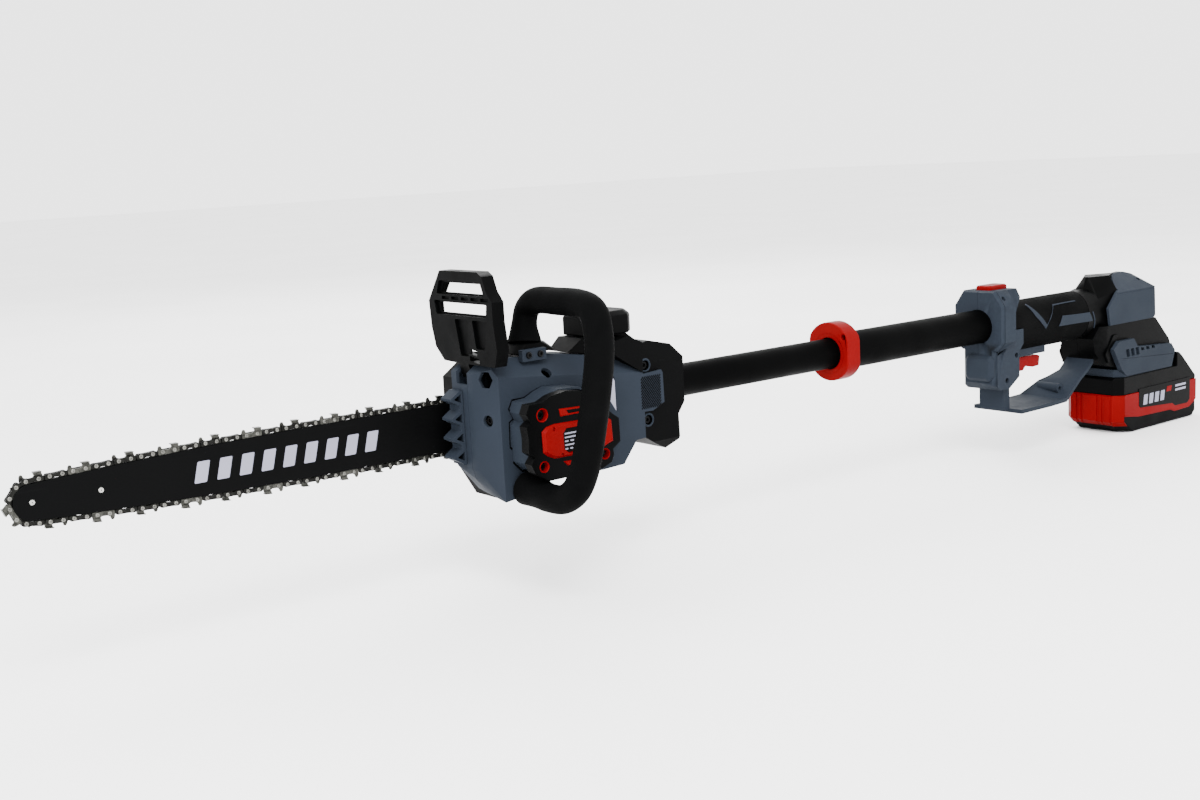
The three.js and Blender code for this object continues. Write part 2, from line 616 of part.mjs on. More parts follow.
function buildGrip() {
  const grip = prism('x', gripOval(0), GRIP_FRONT, GRIP_REAR)
    .subtract(prism('x', circle(OUTER_TUBE_RADIUS + GAP, 32), 300, 600))
    .subtract(box(300, 394 + GAP, -40, 40, -60, -5 + GAP))
    .subtract(box(399, 445, -7.4, 7.4, -60, -26));
  addShells('grip', grip, rubber);
}

const FOOT_OUTLINE = [
  [524, -57], [552, -64.5], [640, -64.5], [645, -52], [641, -43], [615, -17.8], [520, -17.8],
  [514, -30], [516, -44],
];
const SHOULDER_SECTION = [[-24, -30], [24, -30], [24, 16], [14, 31.5], [-14, 31.5], [-24, 16]];

// The shoulder carries on behind its rear face as a flat pointed tongue, let into the cap's top.
function shoulderTongue(grow, low, high) {
  const half = 14 + grow;
  return prism('z', [[SHOULDER_REAR - 1, -half], [577 + grow, 0], [SHOULDER_REAR - 1, half]], low, high);
}

function buildRearBody() {
  const neck = prism('x', gripOval(0), GRIP_REAR + GAP, SHOULDER_REAR);
  const shoulder = hull([
    ...gripOval(0).map(([y, z]) => [526, y, z]),
    [531, -3, 31], [531, 3, 31],
    ...SHOULDER_SECTION.map(([y, z]) => [SHOULDER_REAR, y, z]),
  ]);
  const half = REAR_BODY_HALF_WIDTH;
  const footPlan = [[510, -16.5], [528, -half], [650, -half], [650, half], [528, half], [510, 16.5]];
  const foot = prism('y', FOOT_OUTLINE, -half, half).intersect(prism('z', footPlan, -70, 0));
  const room = prism('y', inset(FOOT_OUTLINE, WALL), WALL - half, half - WALL);
  const body = neck.add(shoulder).add(shoulderTongue(0, 25, 31.5)).add(foot)
    .subtract(room.intersect(box(500, 650, -13.5, 13.5, -70, 0)))
    .subtract(room.intersect(box(532, 650, -40, 40, -70, 0)))
    .subtract(box(560, 630, -20, 20, -90, -50))
    .subtract(prism('x', circle(OUTER_TUBE_RADIUS + GAP, 32), 490, 600));
  addShells('rear_body', body, black);

  const side = [[528.5, 0], [543, 15], [612, 15], [613.5, -15], [610, -17.5], [532, -17.5]];
  const ridge = [[568, 30.5], [590, 31.5], [604, 28.5]];
  const shape = (width, grow) => hull([-1, 1].flatMap((sign) => [
    ...inset(side, grow).map(([x, z]) => [x, sign * (width - grow), z]),
    ...ridge.map(([x, z]) => [x, sign * 4, z - grow * 1.3]),
  ]));
  const cap = shape(CAP_HALF_WIDTH, 0)
    .subtract(shape(CAP_HALF_WIDTH, 3))
    .subtract(box(500, SHOULDER_REAR + GAP, -24 - GAP, 24 + GAP, -60, 60))
    .subtract(shoulderTongue(GAP, 20, 60))
    .subtract(box(552, 604, -22, 22, -30, -10));
  add('rear_cap', cap, slate);
}

const VENT_OUTLINE = [
  [531, -41.4], [541.3, -34.4], [567.5, -34.4], [574.5, -43.4], [637, -47.4], [644, -55.5],
  [638, -72.2], [554.4, -71.6], [545.3, -63.5],
];

function buildRearDetails() {
  for (const [name, sign] of [['near', -1], ['far', 1]]) {
    const inner = sign * (REAR_BODY_HALF_WIDTH + GAP);
    const outer = sign * VENT_FACE;
    const panel = prism('y', VENT_OUTLINE, Math.min(inner, outer), Math.max(inner, outer));
    add(`vent_panel_${name}`, panel, slate);
  }
  const shoe = prism('z', chamfered(544, 642, -31, 31, 8), SHOE_BOTTOM, -64.5 - GAP)
    .subtract(box(575, 615, -18, 18, -90, -60))
    .subtract(prism('y', inset(VENT_OUTLINE, -GAP), -60, -REAR_BODY_HALF_WIDTH))
    .subtract(prism('y', inset(VENT_OUTLINE, -GAP), REAR_BODY_HALF_WIDTH, 60));
  add('battery_shoe', shoe, slate);
  add('terminal_block', box(576, 614, -17, 17, SHOE_BOTTOM + GAP, -54), black);
  add('control_board', box(556, 598, -20, 20, -6, -3), boardGreen);
}

// The foot under the handle is a strap: a flat sole that turns up, narrows and runs to the rear body.
// Each station is [near edge, far edge], both as [x, y, z] on the strap's top.
const SOLE_TOP = -81.8;
const STRAP = [
  [[384, -28, SOLE_TOP], [384, 28, SOLE_TOP]],
  [[432, -27, SOLE_TOP], [432, 25.5, SOLE_TOP]],
  [[462, -24, SOLE_TOP], [448, 21, -80]],
  [[470, -21.5, -79.5], [460, 17.5, -73.5]],
  [[482, -20, -72], [472, 16, -68.5]],
  [[494, -18.5, -65], [486, 15.5, -66.5]],
  [[510, -17, -57], [506, 15, -62]],
  [[519, -16, -51], [519, 15, -51]],
];
const STRAP_THICKNESS = 3.8;

function buildStrap() {
  let strap = box(375, 384.5, -13.5, 14.5, SOLE_TOP - 1, -61 - GAP);
  for (let i = 0; i + 1 < STRAP.length; i += 1) {
    const edges = [...STRAP[i], ...STRAP[i + 1]];
    strap = strap.add(hull(edges.flatMap(([x, y, z]) => [[x, y, z], [x, y, z - STRAP_THICKNESS]])));
  }
  strap = strap
    .add(prism('y', circle(5, 16, 468, -74), -12, 12))
    .subtract(prism('y', circle(2.2, 12, 468, -74), -13, 3))
    .subtract(prism('y', inset(FOOT_OUTLINE, -GAP), -60, 60));
  add('support_foot', strap, slate);
}

// ---------------------------------------------------------------- battery
function batteryPlan(front, rear, half, frontCut, rearCut) {
  return [
    [front, frontCut - half], [front + frontCut, -half], [rear - rearCut, -half], [rear, rearCut - half],
    [rear, half - rearCut], [rear - rearCut, half], [front + frontCut, half], [front, half - frontCut],
  ];
}

// The pack's outer shape up to a height; its front and rear lean in towards the flat base.
function batteryBlock(wall, high) {
  const rear = BATTERY_REAR - wall;
  const half = BATTERY_HALF_WIDTH - wall;
  const plan = batteryPlan(BATTERY_FRONT + wall, rear, half, 8, 4.5);
  const base = batteryPlan(BASE_FRONT + wall * 1.4, BASE_REAR - wall * 1.2, half, 11.5, 5);
  const heel = [[rear - 4.5, -half], [rear, 4.5 - half], [rear, half - 4.5], [rear - 4.5, half]];
  return hull([
    ...base.map(([x, y]) => [x, y, BATTERY_BASE + wall]),
    ...heel.map(([x, y]) => [x, y, BATTERY_BASE + 5 + wall]),
    ...plan.map(([x, y]) => [x, y, BATTERY_BASE + 12 + wall]),
    ...plan.map(([x, y]) => [x, y, high]),
  ]);
}

function buildBattery() {
  const inside = batteryBlock(2.2, 0);
  add('battery_tray', batteryBlock(0, TRAY_TOP).subtract(inside), black);
  const slice = (low, high) => batteryBlock(0, 0).intersect(box(500, 700, -50, 50, low, high));
  add('battery_band', slice(TRAY_TOP + GAP, BAND_TOP).subtract(inside), red);

  const top = SHOE_BOTTOM - GAP;
  const outline = [
    [BATTERY_FRONT, BAND_TOP + GAP], [BATTERY_REAR, BAND_TOP + GAP], [684.5, -88.5], [670, -75],
    [656, -62], [651, -58.5], [646.5, -57.5], [646.5, top], [BATTERY_FRONT + 2, top],
    [BATTERY_FRONT, top - 2],
  ];
  const cover = prism('y', outline, -50, 50)
    .intersect(slice(-200, 0))
    .subtract(batteryBlock(2.2, 0).intersect(box(500, 700, -50, 50, -200, top - 2.4)))
    .subtract(box(649, 700, -11, 11, -72.5, -60.5));
  add('battery_cover', cover, black);
  const button = prism('y', [[652.5, -72.1], [668.5, -72.1], [657, -61], [652.5, -61]], -10.6, 10.6);
  add('battery_button', button, red);

  // ten cells: two end to end, three wide below and two wide above
  const pitch = 2 * CELL_RADIUS - 0.4;
  const low = BATTERY_BASE + 5 + CELL_RADIUS;
  const rows = [[-pitch, low], [0, low], [pitch, low], [-pitch / 2, low + 15.6], [pitch / 2, low + 15.6]];
  const start = 554.8;
  let cells;
  for (const [y, z] of rows) {
    const can = circle(CELL_RADIUS, 12, y, z);
    const pair = prism('x', can, start, start + CELL_LENGTH)
      .add(prism('x', circle(4, 12, y, z), start + 1, start + 2 * CELL_LENGTH))
      .add(prism('x', can, start + CELL_LENGTH + 0.6, start + 2 * CELL_LENGTH + 0.6));
    cells = cells ? cells.add(pair) : pair;
  }
  add('cell_pack', cells, steel);
}

buildCutting();
buildHead();
buildSpikes();
buildLoop();
buildGuard();
buildMotor();
buildOil();
buildSocket();
buildPole();
buildTriggerHousing();
buildTrigger();
buildGrip();
buildRearBody();
buildRearDetails();
buildStrap();
buildBattery();

export default saw;
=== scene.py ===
"""The looks of the telescoping pole saw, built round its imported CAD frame.

Pieces are laid out in the pole frame, in millimetres: X runs along the pole from the bar's nose
to the battery, -Y is the motor side, Z is up and the axis of the two tubes is Y = Z = 0.
to_frame() turns that into the frame's own metres.
"""
import json
import math

import bmesh
import bpy
from mathutils import Matrix, Vector

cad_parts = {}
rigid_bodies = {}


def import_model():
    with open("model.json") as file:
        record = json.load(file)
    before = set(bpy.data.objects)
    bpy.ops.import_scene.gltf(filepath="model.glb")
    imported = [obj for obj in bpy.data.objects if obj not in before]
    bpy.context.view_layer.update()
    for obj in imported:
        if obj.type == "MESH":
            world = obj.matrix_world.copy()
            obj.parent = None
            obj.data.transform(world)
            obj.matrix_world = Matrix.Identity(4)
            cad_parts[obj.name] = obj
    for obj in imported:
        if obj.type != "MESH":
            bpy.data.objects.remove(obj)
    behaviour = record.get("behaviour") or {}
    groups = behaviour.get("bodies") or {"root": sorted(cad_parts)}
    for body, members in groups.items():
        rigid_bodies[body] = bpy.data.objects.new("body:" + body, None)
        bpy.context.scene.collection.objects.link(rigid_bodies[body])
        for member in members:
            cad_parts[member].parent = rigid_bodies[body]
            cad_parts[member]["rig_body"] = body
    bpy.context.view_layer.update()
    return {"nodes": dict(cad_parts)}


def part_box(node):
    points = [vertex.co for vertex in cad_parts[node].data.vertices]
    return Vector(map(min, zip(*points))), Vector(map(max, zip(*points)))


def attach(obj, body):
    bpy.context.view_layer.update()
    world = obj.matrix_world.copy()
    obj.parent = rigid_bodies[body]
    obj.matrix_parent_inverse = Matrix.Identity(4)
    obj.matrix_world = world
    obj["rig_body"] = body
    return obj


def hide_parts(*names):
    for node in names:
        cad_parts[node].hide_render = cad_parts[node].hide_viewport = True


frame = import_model()

MM = 0.001
TUBE_LOW, TUBE_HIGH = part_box("outer_tube")
TUBE_FRONT = 151  # X of the outer tube's front end in the pole frame
ORIGIN = Vector((TUBE_LOW.x - TUBE_FRONT * MM, 0, (TUBE_LOW.z + TUBE_HIGH.z) / 2))


def to_frame(point):
    return ORIGIN + Vector(point) * MM


# ------------------------------------------------------------------ materials
def linear(red, green, blue):
    """A linear colour from 0-255 display values."""
    def channel(value):
        value /= 255
        return value / 12.92 if value <= 0.04045 else ((value + 0.055) / 1.055) ** 2.4
    return (channel(red), channel(green), channel(blue), 1)


def scaled(colour, factor):
    return tuple(min(1, c * factor) for c in colour[:3]) + (1,)


class Finish:
    """A principled material with helpers for its procedural nodes."""

    def __init__(self, name, roughness, metallic=0, **sockets):
        self.material = bpy.data.materials.new(name)
        self.material.use_nodes = True
        self.nodes = self.material.node_tree.nodes
        self.links = self.material.node_tree.links
        self.shader = self.nodes["Principled BSDF"]
        self.shader.inputs["Roughness"].default_value = roughness
        self.shader.inputs["Metallic"].default_value = metallic
        for socket, value in sockets.items():
            self.shader.inputs[socket.replace("_", " ")].default_value = value
        self.place = self.nodes.new("ShaderNodeTexCoord").outputs["Object"]

    def stretched(self, scale):
        node = self.nodes.new("ShaderNodeMapping")
        node.inputs["Scale"].default_value = scale
        self.links.new(self.place, node.inputs["Vector"])
        return node.outputs["Vector"]

    def noise(self, scale, detail, roughness=0.5, vector=None):
        node = self.nodes.new("ShaderNodeTexNoise")
        node.inputs["Scale"].default_value = scale
        node.inputs["Detail"].default_value = detail
        node.inputs["Roughness"].default_value = roughness
        self.links.new(vector or self.place, node.inputs["Vector"])
        return node.outputs["Fac"]

    def cells(self, scale):
        node = self.nodes.new("ShaderNodeTexVoronoi")
        node.inputs["Scale"].default_value = scale
        self.links.new(self.place, node.inputs["Vector"])
        return node.outputs["Distance"]

    def ramp(self, value, low, high, start=0.0, end=1.0):
        node = self.nodes.new("ShaderNodeMapRange")
        self.links.new(value, node.inputs["Value"])
        settings = {"From Min": low, "From Max": high, "To Min": start, "To Max": end}
        for socket, number in settings.items():
            node.inputs[socket].default_value = number
        return node.outputs["Result"]

    def combined(self, a, b, operation="MULTIPLY"):
        """Two values multiplied, or put through another operation. Each is a number or a socket."""
        node = self.nodes.new("ShaderNodeMath")
        node.operation = operation
        for socket, value in zip(node.inputs, (a, b)):
            if isinstance(value, (int, float)):
                socket.default_value = value
            else:
                self.links.new(value, socket)
        return node.outputs["Value"]

    def edges(self):
        """How much a place is on an outer edge, broken up by noise."""
        geometry = self.nodes.new("ShaderNodeNewGeometry")
        edge = self.ramp(geometry.outputs["Pointiness"], 0.57, 0.66)
        return self.combined(edge, self.ramp(self.noise(260, 4), 0.42, 0.62))

    def mixed(self, factor, a, b):
        node = self.nodes.new("ShaderNodeMix")
        node.data_type = "RGBA"
        self.links.new(factor, node.inputs["Factor"])
        for index, value in ((6, a), (7, b)):
            if isinstance(value, tuple):
                node.inputs[index].default_value = value
            else:
                self.links.new(value, node.inputs[index])
        return node.outputs[2]

    def colour(self, value):
        self.links.new(value, self.shader.inputs["Base Color"])

    def rough(self, value):
        self.links.new(value, self.shader.inputs["Roughness"])

    def bump(self, height, strength, depth_mm):
        node = self.nodes.new("ShaderNodeBump")
        node.inputs["Strength"].default_value = strength
        node.inputs["Distance"].default_value = depth_mm * MM
        self.links.new(height, node.inputs["Height"])
        self.links.new(node.outputs["Normal"], self.shader.inputs["Normal"])


def plastic(name, colour, roughness, grain=1400, grain_depth=0.05, wear=1.5, **sockets):
    """Moulded plastic: spark-eroded grain, slow colour drift, rubbed edges and settled dust."""
    finish = Finish(name, roughness, **sockets)
    drift = finish.ramp(finish.noise(18, 3), 0.3, 0.7)
    body = finish.mixed(drift, scaled(colour, 0.9), scaled(colour, 1.08))
    speckle = finish.ramp(finish.noise(2600, 2), 0.62, 0.75, 0, 0.35)
    body = finish.mixed(speckle, body, scaled(colour, 1.35))
    finish.colour(finish.mixed(finish.combined(finish.edges(), 0.6), body, scaled(colour, wear)))
    finish.rough(finish.ramp(finish.noise(55, 4, 0.6), 0.3, 0.7, roughness - 0.07, roughness + 0.08))
    finish.bump(finish.noise(grain, 2, 0.6), 0.55, grain_depth)
    return finish.material


def soft_rubber(name, colour):
    """Soft over-moulding: deep matt pores with paler scuffs."""
    finish = Finish(name, 0.78, Specular_IOR_Level=DULL)
    scuff = finish.ramp(finish.noise(70, 6, 0.7), 0.52, 0.72, 0, 0.5)
    body = finish.mixed(scuff, colour, scaled(colour, 1.9))
    finish.colour(finish.mixed(finish.combined(finish.edges(), 0.4), body, scaled(colour, 2.6)))
    finish.rough(finish.ramp(finish.noise(40, 3), 0.3, 0.7, 0.66, 0.86))
    finish.bump(finish.combined(finish.cells(1500), finish.noise(700, 3), "ADD"), 0.6, 0.09)
    return finish.material


def coated_metal(name, colour, roughness, shine, stretch, bare):
    """Painted metal: fine drawn lines along one axis, light scratches, bare metal on rubbed edges."""
    finish = Finish(name, roughness, Specular_IOR_Level=shine)
    lines = finish.noise(900, 2, 0.5, finish.stretched(stretch))
    long_marks = finish.noise(420, 4, 0.6, finish.stretched(stretch))
    scratch = finish.ramp(long_marks, 0.66, 0.74, 0, 0.25)
    body = finish.mixed(scratch, colour, scaled(colour, 3.2))
    finish.colour(finish.mixed(finish.combined(finish.edges(), bare), body, linear(150, 150, 148)))
    finish.rough(finish.ramp(finish.noise(30, 4), 0.3, 0.7, roughness - 0.08, roughness + 0.1))
    finish.bump(lines, 0.25, 0.03)
    return finish.material


def steel(name, colour, roughness, grime):
    """Worked steel with rolling marks and dark oil in its low places."""
    finish = Finish(name, roughness, 0.92)
    oil = finish.ramp(finish.noise(420, 4, 0.65), 0.42, 0.62, 0, grime)
    finish.colour(finish.mixed(oil, colour, scaled(colour, 0.25)))
    finish.rough(finish.ramp(finish.noise(900, 3), 0.3, 0.7, roughness - 0.1, roughness + 0.14))
    finish.bump(finish.noise(1800, 2), 0.35, 0.04)
    return finish.material


SLATE = (0.0115, 0.0148, 0.0205, 1)
BLACK = (0.0007, 0.00075, 0.0008, 1)
RED = (0.105, 0.0006, 0.0013, 1)
DULL = 0.02  # how strongly moulded plastic mirrors the studio
MATERIALS = {
    "slate": plastic("slate_moulding", SLATE, 0.5, wear=1.2, Specular_IOR_Level=DULL),
    "black": plastic("black_moulding", BLACK, 0.5, wear=2.6, Specular_IOR_Level=DULL),
    "satin_black": plastic("satin_black_moulding", BLACK, 0.36, 700, 0.02, 2.6, Specular_IOR_Level=DULL),
    "red": plastic("red_moulding", RED, 0.36, 1100, 0.03, 1.25, Specular_IOR_Level=DULL),
    "rubber": soft_rubber("soft_rubber", scaled(BLACK, 1.1)),
    "tube": coated_metal("tube_coating", scaled(BLACK, 0.6), 0.5, 0.012, (0.02, 1, 1), 0),
    "bar": coated_metal("bar_coating", scaled(BLACK, 1.1), 0.45, 0.03, (0.05, 1, 1), 0.9),
    "cutter": steel("cutter_steel", (0.042, 0.042, 0.037, 1), 0.34, 0.85),
    "strap": steel("blued_steel", (0.009, 0.009, 0.008, 1), 0.45, 0.85),
    "rivet": steel("rivet_steel", (0.14, 0.138, 0.125, 1), 0.3, 0.6),
    "bright": steel("bright_steel", (0.4, 0.4, 0.38, 1), 0.3, 0.3),
    "screw": steel("screw_steel", (0.004, 0.0042, 0.0045, 1), 0.45, 0.6),
    "mark": plastic("mark_paint", (0.19, 0.19, 0.24, 1), 0.45, 500, 0.01, 1.0, Specular_IOR_Level=DULL),
    "label": plastic("label_film", BLACK, 0.22, 300, 0.005, 1.6, Specular_IOR_Level=DULL),
    # painted highlight: a pale lilac-grey for the lit wall of a pocket on the head's near side
    "lit_wall_paint": plastic("lit_wall_highlight_paint", (0.22, 0.22, 0.27, 1), 0.45, 900, 0.02, 1.1, Specular_IOR_Level=DULL),
    "tank": plastic("tank_plastic", linear(205, 200, 182), 0.4, 400, 0.02, 1.1),
    "board": plastic("circuit_board", linear(28, 84, 48), 0.4, 900, 0.02, 1.3),
}


# ------------------------------------------------------------------ mesh helpers
SHARP_ANGLE = math.radians(32)  # only edges that turn more than this are rounded
FLAT_ANGLE = math.radians(0.6)  # triangles that lean less than this are one flat face
DOUBLED = 0.01 * MM  # corners of a CAD mesh closer than this are one corner


def prism(axis, outline, low, high):
    """An outline drawn across X, as (y, z), or across Y, as (x, z), and extruded along that axis."""
    put = {"x": lambda a, b, c: (c, a, b), "y": lambda a, b, c: (a, c, b)}[axis]
    count = len(outline)
    vertices = [put(a, b, c) for c in (low, high) for a, b in outline]
    faces = [tuple(range(count)), tuple(range(count, 2 * count))]
    faces += [(i, (i + 1) % count, count + (i + 1) % count, count + i) for i in range(count)]
    return vertices, faces


def loft(rings, closed=False):
    """Rings of equal length joined in order, with a cap at each end unless the last meets the first."""
    count = len(rings[0])
    vertices = [tuple(p) for ring in rings for p in ring]
    faces = []
    for k in range(len(rings) if closed else len(rings) - 1):
        a, b = k * count, (k + 1) % len(rings) * count
        faces += [(a + i, a + (i + 1) % count, b + (i + 1) % count, b + i) for i in range(count)]
    if not closed:
        faces += [tuple(range(count)), tuple(range(len(vertices) - count, len(vertices)))]
    return vertices, faces


def joined(*shapes):
    vertices, faces = [], []
    for shape_vertices, shape_faces in shapes:
        first = len(vertices)
        vertices += shape_vertices
        faces += [tuple(first + i for i in face) for face in shape_faces]
    return vertices, faces


def circle(radius, sides):
    angles = [2 * math.pi * i / sides for i in range(sides)]
    return [(radius * math.cos(t), radius * math.sin(t)) for t in angles]


def rounded(outline, radius, steps=4):
    """The outline with each corner turned into a short curve."""
    points = []
    count = len(outline)
    for i, corner in enumerate(outline):
        here, before, after = Vector(corner), Vector(outline[i - 1]), Vector(outline[(i + 1) % count])
        reach = min(radius, (before - here).length * 0.49, (after - here).length * 0.49)
        start = here + (before - here).normalized() * reach
        end = here + (after - here).normalized() * reach
        for k in range(steps + 1):
            t = k / steps
            points.append(tuple((1 - t) ** 2 * start + 2 * t * (1 - t) * here + t * t * end))
    return points


def inset(outline, distance):
    """The outline with every edge moved inwards, or outwards for a negative distance."""
    count = len(outline)
    area = sum(a * d - c * b for (a, b), (c, d) in zip([outline[-1], *outline], outline))
    side = math.copysign(1, area)
    points = []
    for i in range(count):
        here = Vector(outline[i])
        before = (here - Vector(outline[i - 1])).normalized()
        after = (Vector(outline[(i + 1) % count]) - here).normalized()
        normal = Vector((-before.y - after.y, before.x + after.x)).normalized()
        lean = max(-before.y * normal.x + before.x * normal.y, 0.4)
        points.append(tuple(here + normal * (side * distance / lean)))
    return points


def curve_points(points, steps):
    """A smooth curve through the points, whatever their size, with some steps for each stretch."""
    points = [Vector(p) for p in points]
    padded = [2 * points[0] - points[1], *points, 2 * points[-1] - points[-2]]
    found = []
    for i in range(len(points) - 1):
        a, b, c, d = padded[i:i + 4]
        for k in range(steps):
            t = k / steps
            found.append(0.5 * (2 * b + (c - a) * t + (2 * a - 5 * b + 4 * c - d) * t * t
                                + (3 * b - a - 3 * c + d) * t ** 3))
    return [*found, points[-1]]


def sweep(path, radii, sides, steps):
    """A round bar along a smooth path. radii holds one radius for each point of the path."""
    spine = curve_points(path, steps)
    sizes = [v.x for v in curve_points([(r, 0, 0) for r in radii], steps)]
    side = Vector((0, 0, 1))
    rings = []
    for i, here in enumerate(spine):
        along = (spine[min(i + 1, len(spine) - 1)] - spine[max(i - 1, 0)]).normalized()
        side = (side - along * side.dot(along)).normalized()
        other = along.cross(side)
        rings.append([here + side * a + other * b for a, b in circle(sizes[i], sides)])
    return loft(rings)


def turned(axis, profile, centre=(0, 0, 0), sides=48):
    """A profile of (radius, place along the axis) turned round X or Y. It closes on itself."""
    put = {
        "x": lambda r, t, c, s: (t, r * c, r * s),
        "y": lambda r, t, c, s: (r * c, t, r * s),
    }[axis]
    rings = []
    for c, s in circle(1, sides):
        rings.append([tuple(Vector(put(r, t, c, s)) + Vector(centre)) for r, t in profile])
    return loft(rings, closed=True)


def soften(piece, width, segments):
    """Rounds a piece's edges and smooths its shading."""
    if width:
        bevel = piece.modifiers.new("rounded_edges", "BEVEL")
        bevel.width = width * MM
        bevel.segments = segments
        bevel.limit_method = "ANGLE"
        bevel.angle_limit = SHARP_ANGLE
        bevel.miter_outer = "MITER_ARC"
    piece.modifiers.new("even_shading", "WEIGHTED_NORMAL").keep_sharp = True


def placed(name, mesh):
    """A new object in the scene."""
    item = bpy.data.objects.new(name, mesh)
    bpy.context.scene.collection.objects.link(item)
    return item


def mesh_of(name, shape, merge=0):
    """A mesh from a shape in pole-frame millimetres, with its faces pointing out."""
    vertices, faces = shape
    mesh = bpy.data.meshes.new(name)
    mesh.from_pydata([to_frame(v) for v in vertices], [], faces)
    solid = bmesh.new()
    solid.from_mesh(mesh)
    if merge:
        bmesh.ops.remove_doubles(solid, verts=solid.verts, dist=merge * MM)
    bmesh.ops.recalc_face_normals(solid, faces=solid.faces)
    solid.to_mesh(mesh)
    solid.free()
    return mesh


def make(name, shape, finish, body, width, segments=2, replaces=(), sharp=40, holes=()):
    """A piece from a shape in pole-frame millimetres, riding on a CAD body."""
    piece = placed(name, mesh_of(name, shape, 0.002))
    dress(piece, finish, body, width, segments, replaces, holes, sharp)


def dress(piece, finish, body, width, segments, replaces, holes, sharp=40):
    """Gives a piece its finish, holes and edges, tells the frame what it rides on, and hides the CAD
    nodes it replaces.
    """
    piece.data.materials.clear()
    piece.data.materials.append(MATERIALS[finish])
    piece.data.shade_smooth()
    if not width:
        piece.data.set_sharp_from_angle(angle=math.radians(sharp))
    cut(piece, holes)
    soften(piece, width, segments)
    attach(piece, body)
    if replaces:
        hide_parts(*replaces)


def cut(piece, holes):
    """Takes shapes away from a piece, for good."""
    for shape in holes:
        cutter = placed("cutter", mesh_of("cutter", shape))
        boolean = piece.modifiers.new("cut", "BOOLEAN")
        boolean.operation = "DIFFERENCE"
        boolean.solver = "EXACT"
        boolean.object = cutter
        settle(piece)
        bpy.data.objects.remove(cutter)
    if holes:
        piece.data.shade_smooth()


def settle(piece):
    """Makes a piece's modifiers part of its mesh."""
    bpy.context.view_layer.update()
    shown = piece.evaluated_get(bpy.context.evaluated_depsgraph_get())
    mesh = bpy.data.meshes.new_from_object(shown)
    piece.modifiers.clear()
    piece.data = mesh


def refined(node, name, finish, width, segments=3, holes=(), joins_faces=True):
    """A piece made from a CAD node's own solid, with clean faces, holes and rounded edges."""
    source = frame["nodes"][node]
    piece = placed(name, source.data.copy())
    tidy_faces(piece.data, joins_faces)
    dress(piece, finish, source["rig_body"], width, segments, (node,), holes)


def tidy_faces(mesh, joins_faces):
    """Merges a CAD mesh's doubled corners and joins its triangles into flat faces.

    A flat face with a hole right through it can't be joined, so a pierced plate keeps its triangles.
    """
    solid = bmesh.new()
    solid.from_mesh(mesh)
    bmesh.ops.remove_doubles(solid, verts=solid.verts, dist=DOUBLED)
    if joins_faces:
        bmesh.ops.dissolve_limit(solid, angle_limit=FLAT_ANGLE, verts=solid.verts, edges=solid.edges)
    solid.to_mesh(mesh)
    solid.free()


def keep_node(node, finish, width, segments=2):
    """A CAD node that stays as it is and gets its finish, with its edges rounded on show."""
    piece = frame["nodes"][node]
    piece.data.materials.clear()
    piece.data.materials.append(MATERIALS[finish])
    weld = piece.modifiers.new("one_skin", "WELD")
    weld.merge_threshold = DOUBLED
    flat = piece.modifiers.new("flat_faces", "DECIMATE")
    flat.decimate_type = "DISSOLVE"
    flat.angle_limit = FLAT_ANGLE
    piece.data.shade_smooth()
    soften(piece, width, segments)


def moved(shape, centre, direction):
    """The shape turned to take +Z to a direction, then moved."""
    turn = Vector(direction).to_track_quat("Z", "Y").to_matrix()
    return [tuple(turn @ Vector(v) + Vector(centre)) for v in shape[0]], shape[1]


def rod(start, end, radius, sides=24):
    """A round bar between two points."""
    start, end = Vector(start), Vector(end)
    length = (end - start).length
    rings = [[(a, b, height) for a, b in circle(radius, sides)] for height in (0, length)]
    return moved(loft(rings), start, end - start)


def slab(outline, near, far, radius):
    """A flat plate across Y with rounded corners."""
    return prism("y", rounded(outline, radius), near, far)


def leaning(outline, near, far, lean):
    """A plate across Y whose sides lean in by some amount towards its near face."""
    return loft([[(x, far, z) for x, z in outline], [(x, near, z) for x, z in inset(outline, lean)]])


def unmoved(shape):
    return shape


def mirrored(shape):
    """The same shape on the other side of the plane Y = 0."""
    return [(x, -y, z) for x, y, z in shape[0]], shape[1]


SIDES = (("near", unmoved), ("far", mirrored))


def hole(x, face, z, radius, depth):
    """A round hole that goes in along +Y from a face looking at -Y."""
    return rod((x, face - 4, z), (x, face + depth, z), radius, 20)


def sleeve(x, face, z, radius, wall, depth):
    """A thin ring that lines such a hole."""
    return turned("y", [(radius - wall, face), (radius - wall * 0.4, face - 0.4), (radius, face),
                        (radius, face + depth), (radius - wall, face + depth)], (x, 0, z), 32)


def groove(outline, face, half_width, depth):
    """A channel that follows a closed outline on a face looking at -Y."""
    section = ((face - 2, -1), (face + depth, -1), (face + depth, 1), (face - 2, 1))
    rings = [[(x, y, z) for x, z in inset(outline, side * half_width)] for y, side in section]
    return loft(rings, closed=True)


NEARWARDS = (0, -1, 0)


def screw_head(centre, direction, radius):
    """A low round head with a six-sided socket, standing on a surface."""
    sides = 24
    socket = 0.52 * radius

    def hexagon(size, height):
        places = []
        for i in range(sides):
            angle = 2 * math.pi * i / sides
            reach = size * math.cos(math.pi / 6) / math.cos(angle % (math.pi / 3) - math.pi / 6)
            places.append((reach * math.cos(angle), reach * math.sin(angle), height))
        return places

    def ring(size, height):
        return [(a, b, height) for a, b in circle(size, sides)]

    rings = [ring(radius, -0.3 * radius), ring(radius, 0.3 * radius), ring(0.84 * radius, 0.5 * radius),
             hexagon(socket, 0.5 * radius), hexagon(socket * 0.96, 0.05 * radius)]
    return moved(loft(rings), centre, direction)


def add_screws(name, body, heads):
    """Screw heads as one piece. Each is (centre, direction, radius)."""
    make(name, joined(*[screw_head(*head) for head in heads]), "screw", body, 0)


